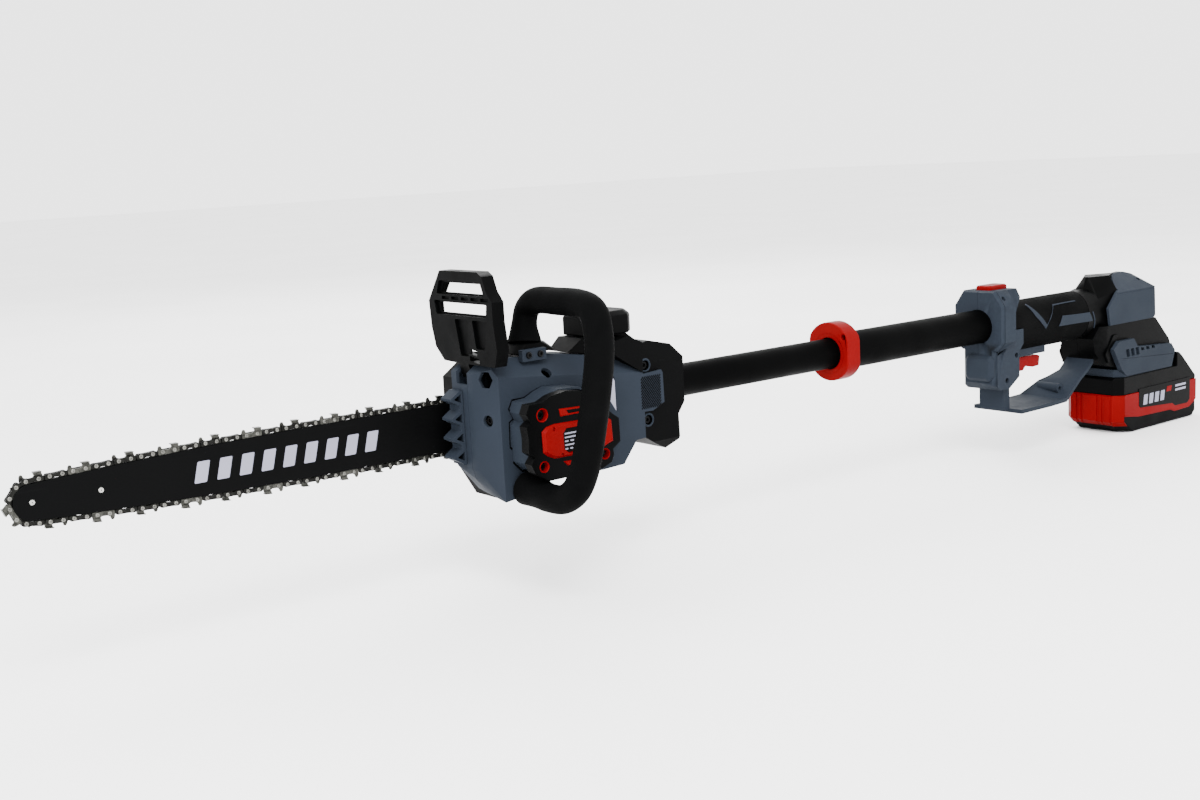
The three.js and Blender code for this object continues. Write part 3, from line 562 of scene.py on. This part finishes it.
# ------------------------------------------------------------------ bar and chain
BAR_Y = 30
BAR_Z = -10
BAR_HALF_HEIGHT = 17.5
BAR_HALF_THICKNESS = 2.25
BAR_TAIL_X = -188
SHOULDER_X = -300
NOSE_X = -516
NOSE_RADIUS = 11.5
DRIVE_X = -165
DRIVE_Z = -12
DRIVE_RADIUS = 16.3

RIVET_COUNT = 112
RIVET_LINE = 1.95  # above the bar's edge
LINKS_PER_SET = 4  # near cutter, strap, far cutter, strap
LINK_START = 1.05  # how far, in rivets, the first link starts past the bar's tail
LINK_STRETCH = 0.08  # how much longer, in rivets, the outer links are than the links between them


def bar_half_height(x):
    along = min(max((SHOULDER_X - x) / (SHOULDER_X - NOSE_X), 0), 1)
    return BAR_HALF_HEIGHT - (BAR_HALF_HEIGHT - NOSE_RADIUS) * along ** 2


def nose_arc(grow):
    steps = 28
    reach = NOSE_RADIUS + grow
    angles = [math.pi * i / steps for i in range(1, steps)]
    return [(NOSE_X - reach * math.sin(t), BAR_Z + reach * math.cos(t)) for t in angles]


def bar_edges(grow):
    steps = 60
    xs = [BAR_TAIL_X + (NOSE_X - BAR_TAIL_X) * i / steps for i in range(steps + 1)]
    top = [(x, BAR_Z + bar_half_height(x) + grow) for x in xs]
    bottom = [(x, BAR_Z - bar_half_height(x) - grow) for x in reversed(xs)]
    return top, bottom


def chain_line(grow):
    """The closed line that the rivets lie on, running to the nose along the top."""
    top, bottom = bar_edges(grow)
    reach = DRIVE_RADIUS + grow
    angles = [math.pi * i / 20 for i in range(21)]
    tail = [(DRIVE_X + reach * math.sin(t), DRIVE_Z - reach * math.cos(t)) for t in angles]
    return top + nose_arc(grow) + bottom + tail


def spaced(line, count, start, stretch):
    """Points round a closed line, in pairs that are a little further apart than equal steps."""
    points = [Vector(p) for p in line]
    points.append(points[0])
    lengths = [(b - a).length for a, b in zip(points, points[1:])]
    step = sum(lengths) / count
    found, index, passed = [], 0, 0.0
    for k in range(count):
        target = ((k + start) % count + k % 2 * stretch) * step
        if target < passed:
            index, passed = 0, 0.0
        while passed + lengths[index] < target:
            passed += lengths[index]
            index += 1
        found.append(points[index].lerp(points[index + 1], (target - passed) / lengths[index]))
    return found, step


def on_link(outline, side_low, side_high, start, end):
    """An outline of a link, drawn along and outwards from its rear rivet, put on the chain."""
    along = (end - start).normalized()
    outwards = Vector((along.y, -along.x))
    flat = [start + along * a + outwards * b for a, b in outline]
    return prism("y", [tuple(p) for p in flat], BAR_Y + side_low, BAR_Y + side_high)


def build_chain():
    rivets, step = spaced(chain_line(RIVET_LINE), RIVET_COUNT, LINK_START, LINK_STRETCH)
    pitch = step * (1 + LINK_STRETCH)
    strap = rounded([
        (-3.0, -1.75), (1.7, -1.8), (2.5, -1.1), (pitch - 2.5, -1.1), (pitch - 1.7, -1.8),
        (pitch + 3.0, -1.75), (pitch + 3.1, 0.6), (pitch + 1.9, 1.8), (pitch - 2.0, 1.5),
        (2.0, 1.5), (-1.9, 1.8), (-3.1, 0.6),
    ], 0.8, 2)
    drive = [
        (-2.3, -1.2), (pitch / 2 - 1.6, -1.9), (pitch / 2, -4.2), (pitch / 2 + 1.6, -1.9),
        (pitch + 2.3, -1.2), (pitch + 1.8, 1.3), (pitch / 2, 0.9), (-1.8, 1.3),
    ]
    blade = rounded([
        (-3.2, -1.8), (pitch + 3.1, -1.8), (pitch + 3.3, 0.8), (pitch + 3.0, 3.0), (pitch + 2.0, 4.2),
        (pitch + 0.8, 3.9), (pitch + 0.4, 2.2), (pitch - 1.2, 1.2), (2.9, 1.1), (1.6, 2.1),
        (2.2, 4.2), (-2.6, 3.9), (-3.4, 1.2),
    ], 0.5, 2)
    tooth_top = [(-2.7, 3.5), (2.3, 3.8), (2.3, 4.4), (-2.7, 4.1)]
    tooth_side = [(-2.6, 2.0), (1.7, 2.0), (2.2, 4.0), (-2.6, 3.9)]
    rivet_head = [(0.3, 1.5), (1.3, 1.5), (1.3, 2.0), (0.9, 2.25), (0.3, 2.25)]  # radius and Y
    straps, drives, blades, heads = [], [], [], []
    for i in range(0, RIVET_COUNT, 2):
        a, b, c = rivets[i], rivets[(i + 1) % RIVET_COUNT], rivets[(i + 2) % RIVET_COUNT]
        drives.append(on_link(drive, -0.65, 0.65, b, c))
        kind = i // 2 % LINKS_PER_SET
        for side in (-1, 1):
            low, high = sorted((side * 0.75, side * 1.85))
            if kind == (0 if side < 0 else 2):
                blades.append(on_link(blade, low, high, a, b))
                blades.append(on_link(tooth_top, *sorted((side * 3.1, side * -0.9)), a, b))
                blades.append(on_link(tooth_side, *sorted((side * 1.7, side * 2.9)), a, b))
            else:
                straps.append(on_link(strap, low, high, a, b))
            for x, z in (a, b):
                heads.append(turned("y", [(r, side * y) for r, y in rivet_head], (x, BAR_Y, z), 14))
    make("chain_tie_straps", joined(*straps), "strap", "head", 0.12, 1, ("saw_chain",))
    make("chain_drive_links", joined(*drives), "strap", "head", 0.1, 1)
    make("chain_cutters", joined(*blades), "cutter", "head", 0.1, 1)
    make("chain_rivets", joined(*heads), "rivet", "head", 0, sharp=50)


def build_bar():
    top, bottom = bar_edges(0)
    outline = top + nose_arc(0) + bottom
    low, high = BAR_Y - BAR_HALF_THICKNESS, BAR_Y + BAR_HALF_THICKNESS
    slot = prism("y", rounded([(-217, -14.4), (-191.5, -14.4), (-191.5, -5.6), (-217, -5.6)], 4), 20, 40)
    make("bar_plate", prism("y", outline, low, high), "bar", "head", 0.5, 2, ("guide_bar",),
         holes=(slot,))
    rivets = [
        turned("y", [(0.4, low - 0.25), (1.5, low - 0.25), (1.8, low + 0.1), (1.8, high - 0.1),
                     (1.5, high + 0.25), (0.4, high + 0.25)], (x, 0, BAR_Z))
        for x in (NOSE_X, -474)
    ]
    make("bar_nose_rivets", joined(*rivets), "bright", "head", 0)
    # A plain row of slanted blocks stands where such a bar has its printing.
    blocks = []
    for i in range(9):
        x = -414 + i * 15.6
        block = rounded([(x, -17), (x + 8.5, -17), (x + 12, -3), (x + 3.5, -3)], 1)
        blocks.append(prism("y", block, low - 0.12, low - 0.01))
        blocks.append(prism("y", block, high + 0.01, high + 0.12))
    make("bar_blocks", joined(*blocks), "mark", "head", 0)
    keep_node("nose_sprocket", "strap", 0.1, 1)
    keep_node("drive_sprocket", "bright", 0.3)
    for place in ("front", "rear"):
        keep_node(f"bar_stud_{place}", "bright", 0.3)
        keep_node(f"bar_nut_{place}", "bright", 0.4)


# ------------------------------------------------------------------ saw head
HEAD_FACE = -30  # the head's near wall
COVER_FACE = -60
SOCKET_FACE = -27.7
SEAM = [  # X and Z of the joint line round the motor
    (-196.1, -38.9), (-203.4, -31.6), (-200.7, -23.6), (-205.4, -20.4), (-204.8, -2.6), (-201, -0.2),
    (-204.7, 6.9), (-201.4, 12.9), (-191.4, 13), (-184, 16.4), (-175.8, 18.8), (-165.6, 18.3),
    (-154.7, 14), (-149.5, 12.7), (-142, 12.6), (-110.4, 16.5), (-109.1, -12.4), (-109.1, -30),
    (-115.3, -39.2),
]
# X and Z of a pale strip on the head's near side: a real pocket wall, with its brightness painted on as
# a highlight
LIT_WALL_FACET = [
    (-118.5, 18.6), (-124.5, -6.7), (-118.2, -10), (-117.5, -25.6), (-124.8, -32.8), (-122.5, -35.8),
    (-116, -27), (-116.8, -10.2), (-117.2, 16.2),
]
TRIM = [
    (-199.2, -6.7), (-198.9, -21.4), (-195.5, -24.3), (-189.3, -27.1), (-160, -27.4), (-144.9, -25.3),
    (-137.2, -22.6), (-138.1, -7.3), (-141.7, -4.9), (-168, -2.9), (-188.2, -2.5), (-195.4, -3.7),
]
LABEL = [
    (-182.3, -9.9), (-182, -21.2), (-178, -24.5), (-152, -24), (-148, -20), (-148, -10), (-151, -7),
    (-179.5, -6.8),
]
COVER_SCREWS = [(-197.6, 4.8, 5.0), (-198.2, -31.5, 4.2), (-144.6, -31.1, 4.2)]
SOCKET_SCREWS = [(-77.9, 21.5), (-77, -20.4)]


def build_casing():
    seam = groove(SEAM, HEAD_FACE, 0.75, 1.6)
    holes = [
        rod((-169, -21, 20.5), (-169, -32, 33.5), 4.2),
        rod((-209, -17, -1.2), (-226, -22.4, -1.2), 4.2),
        rod((-210, -17.3, 27), (-224, -21.7, 30), 6.4, 6),
        seam,
    ]
    refined("head_shell_near", "head_casing_near", "slate", 1.1, holes=holes)
    refined("head_shell_far", "head_casing_far", "slate", 1.2)
    add_screws("head_screws", "head", [
        ((-169, -22, 21.4), (0, -0.65, 0.76), 3),
        ((-212, -17.9, -1.2), (-1, -0.3, 0), 3),
    ])
    seam_line = groove(SEAM, HEAD_FACE + 2.8, 0.72, -1.25)
    make("head_seam_line", seam_line, "black", "head", 0)
    # A plate proud of the near wall where a pocket wall stands, coloured pale as a painted highlight
    make("cowl_side_lit_wall_highlight", prism("y", LIT_WALL_FACET, -40, HEAD_FACE - 0.05), "lit_wall_paint", "head", 0.25)
    refined("bumper_spikes", "bumper_spike_row", "slate", 0.5, 2)
    refined("chain_cover", "chain_cover_moulding", "black", 1.0)
    refined("oil_cap", "oil_cap_moulding", "black", 1.2)
    refined("top_cowl", "top_cowl_moulding", "black", 1.2)


def build_motor_cover():
    refined("motor_cowl", "motor_cowl_moulding", "slate", 1.8)
    face = COVER_FACE
    holes = [hole(x, face, z, r, 7) for x, z, r in COVER_SCREWS]
    refined("motor_cover", "motor_cover_moulding", "satin_black", 1.4, holes=holes)
    sleeves = [sleeve(x, face, z, r - 0.05, 0.8, 6) for x, z, r in COVER_SCREWS]
    make("cover_screw_sleeves", joined(*sleeves), "red", "head", 0)
    heads = [((x, face + 4.5, z), NEARWARDS, r - 1.5) for x, z, r in COVER_SCREWS]
    add_screws("cover_screws", "head", heads)

    recess = prism("y", inset(LABEL, -0.1), -70, face - 0.5)
    pits = [rod((x, face - 4, z), (x, face - 1.6, z), 1.5, 6) for x, z in ((-190, -5.8), (-184, -25))]
    make("motor_cover_trim", leaning(TRIM, face - 2.6, face - 0.25, 1.9), "red", "head", 0.5, 3,
         ("motor_cover_frame",), holes=(recess, *pits))
    make("motor_label", prism("y", inset(LABEL, 0.4), face - 1.1, face - 0.45), "label", "head", 0.2)
    bars = []
    for row, lengths in enumerate([(13,), (13,), (3, 3, 3), (11,), (2.4, 2.4, 2.4)]):
        x = -180.4
        z = -10.2 - row * 2.7
        for length in lengths:
            bars.append(slab([(x, z), (x + length, z), (x + length, z - 1.1), (x, z - 1.1)],
                             face - 1.25, face - 1.05, 0.3))
            x += length + 1.8
    make("motor_label_bars", joined(*bars), "mark", "head", 0)

    outlines = [
        [(-183.5, 7.4), (-150, 6.2), (-150.4, 1.5), (-182.6, 1.5)],
        [(-182.3, -30), (-160, -30.6), (-160.3, -33.9), (-178.4, -33.9)],
    ]
    slashes = [leaning(outline, face - 0.9, face + 0.2, 0.6) for outline in outlines]
    slits = [prism("y", [(-177.5, 5.6), (-149, 5), (-149, 3), (-175.5, 3)], -70, face + 0.5)]
    make("cover_slashes", joined(*slashes), "red", "head", 0.3, 2, holes=slits)


# The slanted ribs on the head's tongue, which fill a rectangle.
# Thin black lines along them are painted shade, standing in for the shaded grooves of the ribbing.
TONGUE_X = -84.5
TONGUE_Z = -11
TONGUE_LENGTH = 19
TONGUE_HEIGHT = 24.5
RIB_SLOPE = 1.05
RIB_STEP = 2.2


def build_socket():
    holes = [hole(x, SOCKET_FACE, z, 3.9, 5) for x, z in SOCKET_SCREWS]
    refined("pole_socket", "pole_socket_moulding", "black", 1.8, holes=holes)
    rims = [turned("y", [(3.8, SOCKET_FACE - 0.1), (4.4, SOCKET_FACE - 0.8), (5.4, SOCKET_FACE - 0.1)],
                   (x, 0, z), 32) for x, z in SOCKET_SCREWS]
    make("socket_screw_rims", joined(*rims), "slate", "head", 0)
    heads = [((x, SOCKET_FACE + 3, z), NEARWARDS, 3.2) for x, z in SOCKET_SCREWS]
    add_screws("socket_screws", "head", heads)
    # Painted shade: black lines just proud of the face, where the ribbing's grooves lie in shade.
    ribs = []
    for k in range(-9, 13):
        height = k * RIB_STEP  # where the line would start, above the tongue's lower front corner
        start = max(0, -height / RIB_SLOPE)
        end = min(TONGUE_LENGTH, (TONGUE_HEIGHT - height) / RIB_SLOPE)
        if end - start > 2:
            places = [(TONGUE_X + a, HEAD_FACE - 0.05, TONGUE_Z + height + a * RIB_SLOPE)
                      for a in (start, end)]
            ribs.append(rod(*places, 0.45, 6))
    make("tongue_groove_shade", joined(*ribs), "black", "head", 0)


def build_head():
    build_casing()
    build_motor_cover()
    build_socket()
    for node in ("motor_rotor", "motor_bearing_near", "motor_bearing_far", "oil_pump",
                 "guard_pivot_pin"):
        keep_node(node, "bright", 0.3)
    for node, finish in (("motor_stator", "strap"), ("brake_switch", "black"), ("oil_tank", "tank")):
        keep_node(node, finish, 0.3)


# ------------------------------------------------------------------ front handle and guard
LOOP_PATH = [
    (-172.1, -7, 49.2), (-170.2, -5.5, 62), (-168.5, -8, 73), (-168, -20, 79.5), (-168, -45, 80),
    (-168, -70, 79.5), (-169, -86, 75), (-172, -95, 62), (-175, -98.5, 45), (-178.5, -98.8, 26),
    (-182, -98.3, 8), (-186, -97, -12), (-190, -95, -30), (-193, -89, -44), (-194.5, -76, -52.5),
    (-195, -60, -54), (-194.5, -46, -52.5), (-194, -32.4, -51),
]


def build_front_handle():
    radii = [12.5, 9.4, 9.2, 9.6, 9.8, 10, *[10.2] * 10, 11, 12.8]
    loop = sweep(LOOP_PATH, radii, 40, 8)
    make("front_handle_loop", loop, "rubber", "head", 0, 0, ("front_handle",))
    refined("handle_foot", "handle_foot_moulding", "black", 1.2)
    refined("handle_clamp_plate", "handle_clamp", "slate", 0.8, 2)
    add_screws("clamp_screws", "head", [((x, -25, 42), NEARWARDS, 2.4) for x in (-181.5, -171.5)])


GUARD_FRONT = -218


def build_guard():
    flutes = [
        [(12, 70), (-5, 70), (-3.5, 44), (6.5, 44)],
        [(-10.5, 70), (-29.5, 70), (-25, 50), (-14, 50)],
    ]
    pockets = [
        [(30, 97), (-24, 97), (-27, 87.3), (34, 87.3)],
        [(38, 82.6), (-30, 82.6), (-28.5, 72.6), (36, 72.6)],
    ]
    windows = [
        [(-3.5, 50), (-14.5, 48.4), (-14.5, 45), (-3.5, 46.6)],
        [(-5, 44.8), (-17, 43), (-17, 39.4), (-5, 41.2)],
    ]
    before = GUARD_FRONT - 3
    cuts = [prism("x", rounded(outline, 1.5), before, GUARD_FRONT + 2.4) for outline in flutes + pockets]
    cuts += [prism("x", outline, before, GUARD_FRONT + 12) for outline in windows]
    for i in range(5):
        y = 27 - i * 12.5
        notch = [(y - 9.5, 83.6), (y, 83.6), (y, 85.9), (y - 9.5, 85.9)]
        cuts.append(prism("x", notch, before, GUARD_FRONT + 1.6))
    refined("hand_guard", "hand_guard_moulding", "black", 0.7, holes=cuts, joins_faces=False)


# ------------------------------------------------------------------ pole
OUTER_TUBE = (16, 1.5, TUBE_FRONT, 516)  # radius, wall, front and rear
INNER_TUBE = (13, 1.5, -58, 400)
COLLAR_FRONT = 150
COLLAR_SCREW = (-17.1, 14.9)  # Y and Z


def tube(radius, wall, front, rear):
    """A round tube along the pole with slightly broken edges."""
    lip = 0.4
    bore = radius - wall
    profile = [(bore + lip, front), (radius - lip, front), (radius, front + lip), (radius, rear - lip),
               (radius - lip, rear), (bore + lip, rear), (bore, rear - lip), (bore, front + lip)]
    return turned("x", profile, sides=96)


def build_pole():
    make("outer_tube_drawn", tube(*OUTER_TUBE), "tube", "rear_handle", 0, 0, ("outer_tube",))
    make("inner_tube_drawn", tube(*INNER_TUBE), "tube", "head", 0, 0, ("inner_tube",))
    screw_hole = rod((COLLAR_FRONT - 5, *COLLAR_SCREW), (COLLAR_FRONT + 5, *COLLAR_SCREW), 2.3)
    refined("clamp_collar", "collar_ring", "red", 1.4, holes=(screw_hole,))
    lip = turned("x", [(13.9, COLLAR_FRONT + 0.3), (14.3, COLLAR_FRONT), (17.5, COLLAR_FRONT),
                       (17.5, COLLAR_FRONT + 0.8), (13.9, COLLAR_FRONT + 0.8)], sides=64)
    make("collar_lip", lip, "red", frame["nodes"]["clamp_collar"]["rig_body"], 0)
    keep_node("slide_bush", "black", 0.3)
    keep_node("pole_lead", "rubber", 0.5)


# ------------------------------------------------------------------ rear handle
HOUSING_SECTION = [
    (-20, -23), (20, -23), (28, -14.5), (28, 20), (18, 34), (-18, 34), (-28, 20), (-28, -14.5),
]
HOUSING_BOSS = [  # Y and Z of the swelling on the housing's front
    (9, -27), (-15, -27), (-18.5, -31), (-18, -46), (-13, -51.5), (10, -51.5), (13.5, -48), (13.5, -31),
]
SLIT = [(359.3, -27.2), (360.6, -24.4), (369.2, -20.9), (368.2, -23.8)]  # X and Z, above the disc
DISC_FACE = -19
DISC_HOLES = [(388.7, -30.1), (373.8, -52.8)]


def build_trigger_housing():
    def ring(x, distance):
        return [(x, y, z) for y, z in inset(HOUSING_SECTION, distance)]

    seam = loft([ring(358.6, -2), ring(359.5, -2), ring(359.5, 0.7), ring(358.6, 0.7)], closed=True)
    near = [
        seam,
        rod((363.7, -19, 24), (363.7, -29, 31.2), 2.4),
        *[hole(x, DISC_FACE, z, 2.6, 4) for x, z in DISC_HOLES],
        prism("y", SLIT, -30, DISC_FACE + 1.6),
    ]
    refined("trigger_housing_near", "trigger_casing_near", "slate", 1.3, holes=near)
    refined("trigger_housing_far", "trigger_casing_far", "slate", 1.3, holes=(seam,))
    boss = loft([
        [(355.3, y, z) for y, z in inset(HOUSING_BOSS, -1)],
        [(353.2, y, z) for y, z in HOUSING_BOSS],
        [(349.8, y, z) for y, z in inset(HOUSING_BOSS, 3.2)],
    ])
    make("housing_boss", boss, "slate", "rear_handle", 1.2, 3)
    heads = [((x, DISC_FACE + 3, z), NEARWARDS, 2.1) for x, z in DISC_HOLES]
    add_screws("housing_screws", "rear_handle", heads)
    refined("trigger_bezel", "trigger_bezel_moulding", "slate", 0.6, 2)
    refined("lock_button", "lock_button_cap", "red", 0.9)
    refined("trigger", "trigger_lever_moulding", "red", 0.8)


GRIP_CENTRE_Z = -5.3
GRIP_SIZE = (21.5, 24.75)


def on_grip(x, z, lift, side):
    """A point on the grip's skin, lifted off it a little."""
    across, up = (size + lift for size in GRIP_SIZE)
    reach = math.sqrt(max(0, 1 - ((z - GRIP_CENTRE_Z) / up) ** 2))
    return (x, side * across * reach, z)


def grip_patch(stations, side):
    """A thin skin on the grip between two lines. Each station is (X, lower Z, X, upper Z)."""
    steps = 6
    rings = []
    for a, b in zip(stations, stations[1:]):
        for k in range(steps + (b is stations[-1])):
            x0, z0, x1, z1 = Vector(a).lerp(Vector(b), k / steps)
            places = [(x0 + (x1 - x0) * t / steps, z0 + (z1 - z0) * t / steps) for t in range(steps + 1)]
            outer = [on_grip(x, z, 0.45, side) for x, z in places]
            inner = [on_grip(x, z, -0.8, side) for x, z in reversed(places)]
            rings.append(outer + inner)
    return loft(rings)


GRIP_LINES = [  # the stations of each thin inlay line
    [(412, 15.2, 414, 16.2), (417.5, 4, 422, 7.4), (431.5, -9.4, 434, -6.6)],
    [(431.6, -9.2, 432.8, -6), (438.5, -0.6, 440, -0.2), (450, 10.6, 451, 12.4)],
    [(449.8, 11, 450.6, 12.2), (468.7, 11.5, 468.7, 12.4), (487.7, 11.5, 487.7, 12.4)],
    [(509, -1.4, 510.4, -0.8), (512.6, -10, 514, -10), (515.2, -18, 516.4, -18.6)],
]
GRIP_INLAY = [(453, -9.4, 459.3, 0.4), (482.8, -9.8, 484, -0.6), (510, -10.4, 504, -1)]


def build_grip():
    for name, side in (("near", -1), ("far", 1)):
        refined(f"grip_{name}", f"grip_skin_{name}", "rubber", 0.8)
        lines = joined(*[grip_patch(stations, side) for stations in GRIP_LINES])
        make(f"grip_line_{name}", lines, "slate", "rear_handle", 0)
        inlay = grip_patch(GRIP_INLAY, side)
        make(f"grip_patch_{name}", inlay, "slate", "rear_handle", 0)


VENT_FACE = -31.5
CREASE = [(545, -52.6), (552, -52.8), (640, -58.6), (640, -59.1), (552, -53.4), (545, -53.2)]
REAR_RIM = [(537, -27.5), (546, -27.5), (530.5, -44.5), (532, -52), (528.5, -56), (523, -46)]


def build_rear_body():
    slots = []
    for x in (556.3, 565, 573.6):
        outline = [(x - 3.8, -44.3), (x + 2.1, -43.9), (x + 4.1, -51.9), (x - 1.8, -52.3)]
        slots.append(slab(outline, VENT_FACE - 3, VENT_FACE + 3, 0.8))
    for x in (583, 592.5, 602.5):
        outline = [(x - 3.4, -45.1), (x + 2.2, -45.6), (x + 3.4, -48.5), (x - 2.2, -48.4)]
        slots.append(slab(outline, VENT_FACE - 3, VENT_FACE + 3, 0.5))
    crease = prism("y", CREASE, VENT_FACE - 3, VENT_FACE + 0.5)
    for name, turn_over in SIDES:
        holes = [turn_over(shape) for shape in (*slots, crease)]
        refined(f"rear_body_{name}", f"rear_casing_{name}", "satin_black", 1.6)
        refined(f"vent_panel_{name}", f"vent_cover_{name}", "slate", 1.4, holes=holes)
        rim = turn_over(slab(REAR_RIM, -27.6, -25.6, 2))
        make(f"rear_rim_{name}", rim, "satin_black", "rear_handle", 0.7, 3)
    ledge = sweep([(543, -27.1, 13.2), (577, -27.1, 13.4), (613, -27.1, 13.6)], [0.5] * 3, 8, 2)
    holes = [rod((599.7, -11, 17), (599.7, -16.5, 25.4), 2.4), ledge, mirrored(ledge)]
    refined("rear_cap", "rear_cap_moulding", "slate", 1.3, holes=holes)
    refined("battery_shoe", "battery_shoe_moulding", "slate", 0.8, 2)
    refined("support_foot", "support_foot_strap", "slate", 0.8, 2)


def build_rear_handle():
    build_trigger_housing()
    build_grip()
    build_rear_body()
    for node in ("trigger_pin", "trigger_spring", "lock_spring"):
        keep_node(node, "bright", 0.2)
    for node in ("trigger_switch", "terminal_block"):
        keep_node(node, "black", 0.2)
    keep_node("control_board", "board", 0.2)


# ------------------------------------------------------------------ battery
BATTERY_SIDE = -32.5
BATTERY_FRONT = 540
RED_TOP = -92  # Z of the red front's top edge
RED_BEND = -118.6  # Z below which the front leans in
RED_PANEL = [
    (548.6, -91), (684, -91), (684, -113), (680, -116), (670.3, -120.5), (641.9, -121.2),
    (634.1, -118.4), (575, -117), (548.6, -113.4),
]
BLACK_PANEL = [
    (574, -87.5), (671.3, -87.5), (671, -111.9), (666.2, -115.5), (642.8, -115.3), (636.9, -111.8),
    (577, -108), (574, -105.5),
]


def slanted(x, z, width, height, lean=1.5):
    """A slanted block's outline from its lower left corner."""
    return [(x, z), (x + width, z), (x + width + lean, z + height), (x + lean, z + height)]


def build_battery_sides():
    """Red and black panels. Plain slanted blocks stand where such a pack has its rating printed."""
    face = BATTERY_SIDE
    outlines = [slanted(x, -105.5, 7, 10.5) for x in (582, 592.5, 603, 613.5)]
    outlines += [slanted(642, z, 20, 2.2, 0.4) for z in (-94.6, -99)]
    blocks = joined(*[slab(outline, face - 0.95, face - 0.7, 0.6) for outline in outlines])
    accent = slab(slanted(625, -97.5, 9, 5.5), face - 0.95, face - 0.7, 0.6)
    red_panel = leaning(RED_PANEL, face - 0.5, face + 0.2, 0.4)
    black_panel = leaning(BLACK_PANEL, face - 0.8, face + 0.2, 0.4)
    for name, turn_over in SIDES:
        make(f"battery_red_panel_{name}", turn_over(red_panel), "red", "battery", 0.2)
        make(f"battery_label_{name}", turn_over(black_panel), "label", "battery", 0.2)
        make(f"battery_blocks_{name}", turn_over(blocks), "mark", "battery", 0)
        make(f"battery_accent_{name}", turn_over(accent), "red", "battery", 0)


def build_battery_front():
    """The red front: a ribbed skin between two corner pieces."""
    x = BATTERY_FRONT
    face = BATTERY_SIDE
    rings = []
    for front, z, cut_back in ((x, -91.6, 8), (x, -118.4, 8), (x + 4.6, -123.7, 9.4)):
        rings.append([(front - 0.15, -21.5, z), (front - 0.15, face - 0.1 + cut_back, z),
                      (front + cut_back - 0.2, face - 0.45, z), (front + cut_back + 1, face + 0.3, z),
                      (front + 0.6, -21.5, z)])
    for name, turn_over in SIDES:
        make(f"battery_corner_{name}", turn_over(loft(rings)), "red", "battery", 0.2)

    outer = [(x - 0.4, RED_TOP), (x - 0.4, RED_BEND), (x + 4.2, -123.3)]
    inner = [(x + 4.8, -122.5), (x + 0.3, RED_BEND + 0.4), (x + 0.3, RED_TOP)]
    skin = prism("y", outer + inner, -24.65, 24.65)
    proud = [(a - 0.8, z) for a, z in outer]
    spans = ((-22, -15), (-12, -9.5), (-6.5, 9), (12, 14.5), (17.5, 22))
    ribs = [prism("y", proud + inner, low, high) for low, high in spans]
    make("battery_front_ribs", joined(skin, *ribs), "red", "battery", 0.5, 3)


def build_battery():
    refined("battery_tray", "battery_tray_moulding", "black", 1.2)
    refined("battery_band", "battery_band_moulding", "red", 0.5, 2)
    refined("battery_cover", "battery_cover_moulding", "satin_black", 1.6)
    refined("battery_button", "battery_button_cap", "red", 0.8)
    keep_node("cell_pack", "strap", 0.3)
    build_battery_sides()
    build_battery_front()

    # The wall under the release button, as (X, Z, half width) up the pack's rear slope.
    stations = ((686.8, -91, 27.6), (686.8, -90.6, 27.6), (684.4, -88.6, 30), (669.2, -74.4, 30.2))
    rings = [[(x, -y, z), (x, y, z), (x - 2, y, z - 0.4), (x - 2, -y, z - 0.4)] for x, z, y in stations]
    make("battery_rear_wall", loft(rings), "satin_black", "battery", 0.2)


# ------------------------------------------------------------------ floor, light and camera
def build_stage():
    finish = Finish("studio_paper", 0.9)
    finish.colour(finish.mixed(finish.ramp(finish.noise(3, 2), 0.3, 0.7), (0.86, 0.86, 0.86, 1),
                               (0.9, 0.9, 0.9, 1)))
    mesh = bpy.data.meshes.new("studio_floor")
    reach = 14
    corners = [(x * reach, y * reach, 0) for x, y in ((-1, -1), (1, -1), (1, 1), (-1, 1))]
    mesh.from_pydata(corners, [], [(0, 1, 2, 3)])
    floor = placed("studio_floor", mesh)
    floor.data.materials.append(finish.material)
    floor.location.z = -0.001


def add_area(name, location, target, size, power):
    light = bpy.data.lights.new(name, "AREA")
    light.size = size
    light.energy = power
    lamp = placed(name, light)
    lamp.location = location
    lamp.rotation_euler = (Vector(target) - Vector(location)).to_track_quat("-Z", "Y").to_euler()


def build_light():
    world = bpy.data.worlds.new("studio")
    world.use_nodes = True
    world.node_tree.nodes["Background"].inputs["Color"].default_value = (1, 1, 1, 1)
    world.node_tree.nodes["Background"].inputs["Strength"].default_value = 3.2
    bpy.context.scene.world = world
    middle = (-0.5, 0, 0.12)
    add_area("key", (-1.6, -1.6, 2.2), middle, 1.2, 130)
    add_area("fill", (1.2, -2.2, 1.0), middle, 2.0, 20)
    add_area("front", (-2.7, -0.8, 0.9), (-0.9, 0, 0.1), 1.2, 40)
    add_area("rim", (0.4, 1.8, 1.8), middle, 1.6, 60)


CAMERA_PLACE = (-760.9, -863.1, 177.4)  # in the pole frame
CAMERA_YAW = 37.4
CAMERA_PITCH = 9.5
CAMERA_ROLL = 3.1
CAMERA_LENS = 43.39


def build_camera():
    data = bpy.data.cameras.new("camera")
    data.sensor_width = 36
    data.lens = CAMERA_LENS
    data.clip_start = 0.01
    data.clip_end = 100
    camera = placed("camera", data)
    yaw, pitch, roll = (math.radians(a) for a in (CAMERA_YAW, CAMERA_PITCH, CAMERA_ROLL))
    ahead = Vector((math.sin(yaw), math.cos(yaw), 0))
    forward = ahead * math.cos(pitch) - Vector((0, 0, math.sin(pitch)))
    level = Vector((math.cos(yaw), -math.sin(yaw), 0))
    down = forward.cross(level)
    right = math.cos(roll) * level + math.sin(roll) * down
    down = forward.cross(right)
    turn = Matrix((right, -down, -forward)).transposed().to_4x4()
    camera.matrix_world = Matrix.Translation(to_frame(CAMERA_PLACE)) @ turn
    bpy.context.scene.camera = camera


build_camera()
build_bar()
build_chain()
build_head()
build_front_handle()
build_guard()
build_pole()
build_rear_handle()
build_battery()
build_stage()
build_light()
